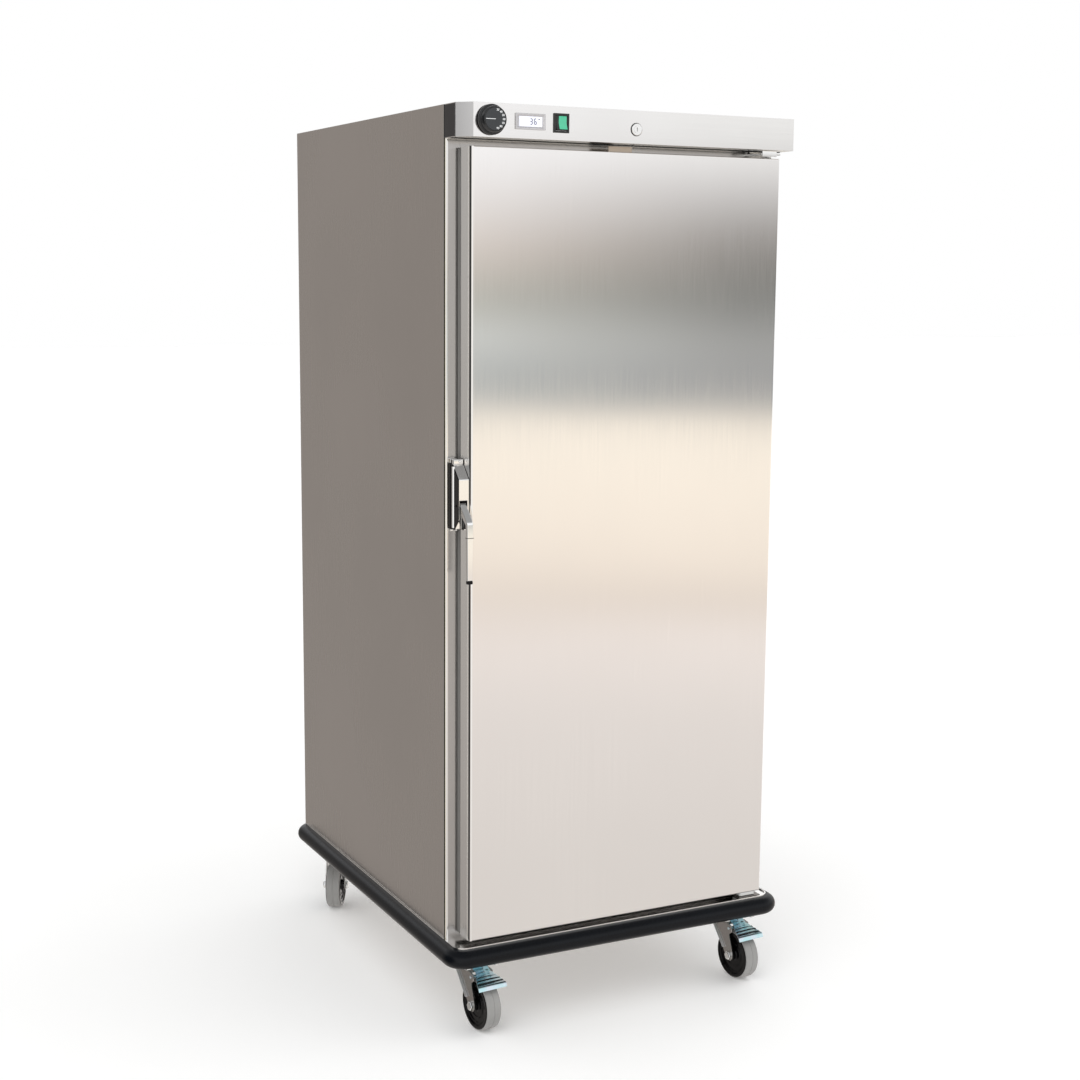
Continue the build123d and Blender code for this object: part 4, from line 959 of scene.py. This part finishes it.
hub_black = moulded("hub_black", (0.0022, 0.0022, 0.0026), 0.1, 300.0, 0.02 * MM)
hub_black.node_tree.nodes["Principled BSDF"].inputs["Specular IOR Level"].default_value = 0.18
tread_grey = moulded("tread_rubber", (0.31, 0.306, 0.298), 0.5, 260.0, 0.12 * MM, 0.14)
centre = turned("pattern_hub", mirrored([
    (radius * MM, along * MM) for radius, along in (
        (5.1, -18.9), (10.2, -18.9), (11.0, -18.2), (11.6, -14.0), (13.5, -12.4), (22.0, -12.4),
        (23.0, -13.8), (25.0, -13.8), (26.0, -12.4), (33.0, -12.4), (34.0, -14.2), (36.5, -14.6),
        (37.5, -13.4), (39.0, -13.4), (40.5, -16.0), (42.0, -16.5), (46.0, -16.3), (47.2, -15.4),
    )
]), AXLE, (1, 0, 0), 72)
at_corners(centre, "wheel_centre", "{}_wheel", "hub_plastic", hub_black, node="{}_castor_hub")
band = turned("pattern_tread", mirrored([
    (radius * MM, along * MM) for radius, along in (
        (44.0, -14.0), (47.2, -15.2), (48.9, -14.6), (49.8, -12.8), (50.0, -11.0), (50.0, -6.0),
        (50.0, -1.6), (49.2, -0.9),
    )
]), AXLE, (1, 0, 0), 96)
at_corners(band, "tread", "{}_wheel", "tyre_rubber", tread_grey, node="{}_castor_tyre")

# ---------------------------------------------------------------- castor forks
# The fork is pressed steel with bright bluish zinc plate: a crown under the ball race, and two legs
# with rolled edges. The fork is given a dark brownish copy of the plate, a painted reflection, and
# its rolled edges a near-white matt copy, a painted highlight. The axle is a bolt with a hexagon
# head and nut.


def zinc_plate(name, colour, roughness, film_share):
    """Zinc plate: drawn steel under a cool film, whose tint drifts between teal and violet."""
    material = brushed_steel(name, colour, roughness, EVEN, streak=0.03, cloudy=0.12)
    tree = material.node_tree
    shader = tree.nodes["Principled BSDF"]
    film = spread(tree, pattern(tree, EVEN, 38.0, 2.0), 0.35, 0.65, 0.0, 1.0)
    tint = between(tree, film, shade((0.40, 0.77, 0.82)), shade((0.68, 0.75, 0.86)))
    source = shader.inputs["Base Color"].links[0].from_socket
    mixed = add(tree, "ShaderNodeMix", {0: film_share, 6: source, 7: tint}, data_type="RGBA").outputs[2]
    tree.links.new(mixed, shader.inputs["Base Color"])
    return material


zinc = zinc_plate("zinc_plate", (0.66, 0.70, 0.72), 0.15, 0.6)
# Dark brownish fork plate: a painted reflection. Near-white matt edge plate: a painted highlight.
fork_reflection_zinc = zinc_plate("fork_reflection_zinc_plate", (0.40, 0.375, 0.355), 0.18, 0.06)
edge_highlight_zinc = zinc_plate("edge_highlight_zinc_plate", (0.93, 0.94, 0.94), 0.5, 0.03)
LEG_X = 23 * MM
ROLLED = 4.5 * MM
for corner in CORNERS:
    fork = softened_copy(f"{corner}_fork", f"{corner}_castor_fork", 1.1 * MM, 3)
    fit(fork, fork_reflection_zinc, f"{corner}_swivel", "zinc_plate", f"{corner}_castor_fork")
edges = []
for side in (-1, 1):
    inner, outer = sorted((side * (LEG_X - MM), side * (LEG_X + ROLLED)))
    edge = block("rolled_edge", (inner, -20.5 * MM, 63 * MM), (outer, -17.5 * MM, 64 * MM))
    pick(edge, lambda middle, normal: normal.z > 0.9)
    bpy.ops.mesh.extrude_region_move(TRANSFORM_OT_translate={"value": (0, 29.5 * MM, 36 * MM)})
    bpy.ops.mesh.extrude_region_move(TRANSFORM_OT_translate={"value": (0, 14 * MM, 15 * MM)})
    leave()
    soften(edge, 0.8 * MM)
    edges.append(edge)
at_corners(joined("pattern_edges", edges), "fork_edges", "{}_swivel", "zinc_plate", edge_highlight_zinc)


def hexagon(name, across, tall):
    """Hexagon head standing on the origin, facing +Z, with its top corners turned off."""
    bpy.ops.object.select_all(action="DESELECT")
    bpy.ops.mesh.primitive_cylinder_add(
        vertices=6, radius=across / 2 / cos(pi / 6), depth=tall, location=(0, 0, tall / 2)
    )
    head = bpy.context.active_object
    head.name = name
    bpy.ops.object.transform_apply(location=True, rotation=True, scale=True)
    pick(head, lambda middle, normal: normal.z > 0.9)
    bpy.ops.mesh.inset(thickness=0.1 * across, depth=0.06 * across)
    leave()
    soften(head, 0.05 * across)
    return head


REACH = 23 * MM
nut = hexagon("nut", 16 * MM, 5 * MM)
shank_end = REACH + 6 * MM
shank = turned("shank", [
    (0.0, -shank_end), (4.6 * MM, -shank_end), (5.0 * MM, -shank_end + 0.6 * MM),
    (5.0 * MM, shank_end - 0.6 * MM), (4.6 * MM, shank_end), (0.0, shank_end),
], AXLE, (1, 0, 0), 24)
ends = [
    copy_of(nut, f"nut_{side}", facing(AXLE + Vector((side * REACH, 0, 0)), (side, 0, 0)))
    for side in (-1, 1)
]
bpy.data.objects.remove(nut)
bright = brushed_steel("bright_nuts", (0.84, 0.86, 0.86), 0.14, EVEN, streak=0.02)
at_corners(
    joined("pattern_axle", [shank, *ends]), "axle_bolt", "{}_swivel", "zinc_plate", bright,
    node="{}_castor_axle",
)

# ---------------------------------------------------------------- castor plates
# The top plates are bolted under the chassis at their four corners. The ball race's cup and the
# riveted end of the kingpin show below them.
PLATE_X, PLATE_Y = 40 * MM, 52 * MM
PLATE_TOP = 136 * MM
PLATE_UNDER = PLATE_TOP - 3.5 * MM
plate = block("plate", (-PLATE_X, -PLATE_Y, PLATE_UNDER), (PLATE_X, PLATE_Y, PLATE_TOP))
pick(plate, lambda middle, edge: abs((edge.verts[0].co - edge.verts[1].co).z) > MM, "EDGE")
bpy.ops.mesh.bevel(offset=8 * MM, segments=5)
leave()
soften(plate, 0.6 * MM)
race = turned("race", [
    (0.0, PLATE_UNDER), (24 * MM, PLATE_UNDER), (24.5 * MM, PLATE_UNDER - 1.2 * MM),
    (22 * MM, PLATE_UNDER - 4.6 * MM), (20 * MM, PLATE_UNDER - 5 * MM), (0.0, PLATE_UNDER - 5 * MM),
], (0, 0, 0), (0, 0, 1), 48)
king = turned("king", [
    (0.0, 109.4 * MM), (4.2 * MM, 109.6 * MM), (5.9 * MM, 110.6 * MM), (5.9 * MM, 113 * MM), (0.0, 113 * MM),
], (0, 0, 0), (0, 0, 1), 32)
pattern_plate = joined("pattern_plate", [plate, race, king])
for corner in CORNERS:
    x, y, _ = joint_named[f"{corner}_castor_swivel"]["pos_m"]
    twin = copy_of(pattern_plate, f"{corner}_top_plate", Matrix.Translation((x, y, 0)))
    fit(twin, zinc, "cabinet", "zinc_plate", *(["castor_plates"] if corner == "front_left" else []))
bpy.data.objects.remove(pattern_plate)
BOLT_X, BOLT_Y = 30 * MM, 42 * MM
head = hexagon("head", 13 * MM, 4.6 * MM)
heads = []
for corner in CORNERS:
    x, y, _ = joint_named[f"{corner}_castor_swivel"]["pos_m"]
    for side_x in (-BOLT_X, BOLT_X):
        for side_y in (-BOLT_Y, BOLT_Y):
            spot = (x + side_x, y + side_y, PLATE_UNDER)
            heads.append(copy_of(head, f"bolt_{len(heads)}", facing(spot, (0, 0, -1))))
bpy.data.objects.remove(head)
fit(joined("castor_bolt_heads", heads), bright, "cabinet", "zinc_plate", "castor_bolts")

# ---------------------------------------------------------------- brake pedals
# The front castors have a foot pedal pressed from bluish zinc-plated sheet. It widens towards its
# lip, has grip ribs across it, and turns on a pin in the fork. A shoe below it meets the tread.
PEDAL_PIN = Vector((0, -33 * MM, 107 * MM))
PEDAL_ROOT = Vector((0, -28 * MM, PEDAL_PIN.z + 15 * MM))
PEDAL_LENGTH = 52.5 * MM
PEDAL_CROWN = 2.2 * MM
ROWS, COLUMNS = 48, 14


def pedal_half_width(along):
    """Half the pedal's width at a share of its length: it flares towards the lip."""
    return 16 * MM + 15 * MM * min(1.0, max(0.0, (along - 0.25) / 0.65)) ** 0.8


def pedal_edge(along):
    """The side edge at a share of the length: it falls away, with seven ribs and a turned-down lip."""
    rib = 0.9 * MM * max(0.0, sin(2 * pi * 7 * along)) if 0.1 < along < 0.88 else 0.0
    lip = 6 * MM * max(0.0, along - 0.93) / 0.07
    return PEDAL_ROOT + Vector((0, -PEDAL_LENGTH * along, rib - 22 * MM * along ** 0.8 - lip))


bpy.ops.object.select_all(action="DESELECT")
start = pedal_half_width(0)
bpy.ops.mesh.primitive_grid_add(
    x_subdivisions=COLUMNS, y_subdivisions=1, size=2 * start, location=PEDAL_ROOT - Vector((0, start, 0))
)
pedal = bpy.context.active_object
pedal.name = "pattern_pedal"
bpy.ops.object.transform_apply(location=True, rotation=True, scale=True)
pick(pedal, lambda place, vertex: place.y < PEDAL_ROOT.y - MM, "VERT")
bpy.ops.mesh.delete(type="VERT")
leave()
for column in range(COLUMNS // 2):
    share = 2 * column / COLUMNS
    pick(pedal, lambda place, vertex: abs(abs(place.x) - share * start) < 0.1 * MM, "VERT")
    bpy.ops.transform.translate(value=(0, 0, PEDAL_CROWN * (1 - share ** 2)))
    leave()
pick(pedal, lambda middle, edge: True, "EDGE")
for row in range(ROWS):
    last, along = row / ROWS, (row + 1) / ROWS
    bpy.ops.mesh.extrude_region_move(TRANSFORM_OT_translate={"value": pedal_edge(along) - pedal_edge(last)})
    widen = pedal_half_width(along) / pedal_half_width(last)
    flatten = (1 - along) / (1 - last)
    bpy.ops.transform.resize(value=(widen, 1, flatten), center_override=pedal_edge(along))
bpy.ops.mesh.select_all(action="SELECT")
bpy.ops.mesh.flip_normals()
leave()
use_modifier(pedal, "SOLIDIFY", thickness=1.6 * MM, offset=-1.0)
soften(pedal, 0.3 * MM)
pin = turned("pin", [
    (0.0, -24.5 * MM), (2.6 * MM, -24.5 * MM), (3.0 * MM, -24.0 * MM),
    (3.0 * MM, 24.0 * MM), (2.6 * MM, 24.5 * MM), (0.0, 24.5 * MM),
], PEDAL_PIN, (1, 0, 0), 24)
SHOE_X = 9 * MM
shoe = block(
    "shoe", (-SHOE_X, -51 * MM, PEDAL_PIN.z - 5.4 * MM), (SHOE_X, -43 * MM, PEDAL_PIN.z + 1.5 * MM)
)
soften(shoe, 1.0 * MM)
at_corners(
    joined("pattern_pedal", [pedal, pin, shoe]), "brake_plate", "{}_brake", "zinc_plate", zinc, CORNERS[:2],
    "{}_castor_brake_pedal",
)

# ---------------------------------------------------------------- studio
# A large pale floor, and a soft surround that the steel mirrors: pale ground, a dim band at eye
# level in front, a warm grey wall at the left rear and a bright sky that greys overhead.
bpy.ops.object.select_all(action="DESELECT")
bpy.ops.mesh.primitive_plane_add(size=60.0)
floor = bpy.context.active_object
floor.name = "studio_floor"
floor_paint, tree, shader = recipe("floor_paint", 0.0, 0.7)
speck = pattern(tree, EVEN, 3.0, 5.0)
paint = between(tree, speck, shade((0.95, 0.95, 0.945)), shade((0.97, 0.97, 0.965)))
tree.links.new(paint, shader.inputs["Base Color"])
shader.inputs["Emission Color"].default_value = (1.0, 1.0, 1.0, 1.0)
shader.inputs["Emission Strength"].default_value = 0.09
floor.data.materials.append(floor_paint)
floor.visible_glossy = False

world = bpy.data.worlds.new("surround")
bpy.context.scene.world = world
world.use_nodes = True
sky = world.node_tree
sky.nodes.clear()


def tones(factor, stops):
    """A colour ramp whose stops are given as screen levels from 0 to 255."""
    node = add(sky, "ShaderNodeValToRGB", {"Fac": factor})
    ramp = node.color_ramp
    while len(ramp.elements) < len(stops):
        ramp.elements.new(0.5)
    for element, (place, colour) in zip(ramp.elements, stops):
        element.position = place
        element.color = (*[(channel / 255) ** 2.2 for channel in colour], 1.0)
    return node.outputs["Color"]


direction = add(sky, "ShaderNodeSeparateXYZ", {0: add(sky, "ShaderNodeTexCoord").outputs["Generated"]})
height = spread(sky, direction.outputs["Z"], -0.5, 0.25, 0.0, 1.0)
GROUND = [
    (0.0, (204, 199, 195)), (0.224, (210, 205, 201)), (0.337, (218, 212, 208)),
    (0.395, (230, 222, 217)), (0.424, (217, 206, 196)), (0.455, (238, 227, 214)), (0.555, (248, 239, 225)),
]
lighter = tones(height, [
    *GROUND, (0.572, (164, 168, 168)), (0.592, (168, 172, 172)), (0.618, (204, 207, 205)),
    (0.650, (170, 170, 162)), (0.68, (205, 195, 187)), (0.75, (240, 240, 242)),
])
darker = tones(height, [
    *GROUND, (0.568, (148, 150, 151)), (0.592, (146, 148, 150)), (0.618, (160, 161, 160)),
    (0.650, (112, 114, 111)), (0.69, (136, 132, 128)), (0.72, (184, 182, 182)), (0.76, (236, 236, 236)),
])
to_right = spread(sky, direction.outputs["X"], 0.41, 0.55, 0.0, 1.0)
front = between(sky, to_right, lighter, darker)


def towards(heading, edge, full):
    """Share of a direction that lies near a heading, from 0 at the edge to 1."""
    way = add(sky, "ShaderNodeTexCoord").outputs["Generated"]
    heading = Vector(heading).normalized()
    along = add(sky, "ShaderNodeVectorMath", {0: way, 1: heading}, operation="DOT_PRODUCT")
    return spread(sky, along.outputs["Value"], edge, full, 0.0, 1.0)


window = between(sky, towards((-0.64, -0.77, 0.0), 0.90, 0.97), front, (0.86, 0.85, 0.835, 1.0))
curtain = between(sky, towards((-0.98, 0.20, 0.0), 0.76, 0.86), window, (0.03, 0.03, 0.03, 1.0))
wall = between(sky, towards((-0.42, 0.91, -0.1), 0.84, 0.93), curtain, (0.300, 0.277, 0.259, 1.0))
high_up = spread(sky, direction.outputs["Z"], 0.5, 0.75, 0.0, 1.0)
overhead = between(sky, high_up, wall, (0.28, 0.28, 0.28, 1.0))
surround = add(sky, "ShaderNodeBackground", {"Color": overhead, "Strength": 1.3})
white = add(sky, "ShaderNodeBackground", {"Color": (1, 1, 1, 1), "Strength": 1.0})
mirrored_ray = add(sky, "ShaderNodeLightPath").outputs["Is Glossy Ray"]
both = add(sky, "ShaderNodeMixShader", {0: mirrored_ray, 1: white.outputs[0], 2: surround.outputs[0]})
add(sky, "ShaderNodeOutputWorld", {"Surface": both.outputs[0]})

LAMPS = (("key_lamp", (-2.6, -3.2, 4.6), 2.4, 30.0), ("fill_lamp", (3.6, -1.5, 4.2), 3.0, 20.0))
for name, place, size, power in LAMPS:
    lamp = bpy.data.lights.new(name, "AREA")
    lamp.size = size
    lamp.energy = power
    holder = bpy.data.objects.new(name, lamp)
    bpy.context.scene.collection.objects.link(holder)
    aim = Vector((0, 0, 0.8)) - Vector(place)
    holder.matrix_world = Matrix.Translation(place) @ aim.to_track_quat("-Z", "Y").to_matrix().to_4x4()
    holder.visible_glossy = False
    holder.visible_camera = False

camera = bpy.data.objects.new("camera", bpy.data.cameras.new("camera"))
bpy.context.scene.collection.objects.link(camera)
bpy.context.scene.camera = camera
camera.data.sensor_width = 36.0
camera.data.lens = 58.548
YAW, PITCH, ROLL = radians(26.8737), radians(8.6444), radians(0.4645)
forward = Vector((sin(YAW) * cos(PITCH), cos(YAW) * cos(PITCH), -sin(PITCH)))
sideways = Vector((cos(YAW), -sin(YAW), 0.0))
upward = sideways.cross(forward)
right = cos(ROLL) * sideways + sin(ROLL) * upward
top = cos(ROLL) * upward - sin(ROLL) * sideways
aimed = Matrix((right, top, -forward)).transposed().to_4x4()
camera.matrix_world = Matrix.Translation((-1.6546, -3.3294, 1.4478)) @ aimed
bpy.context.scene.view_settings.view_transform = "Standard"
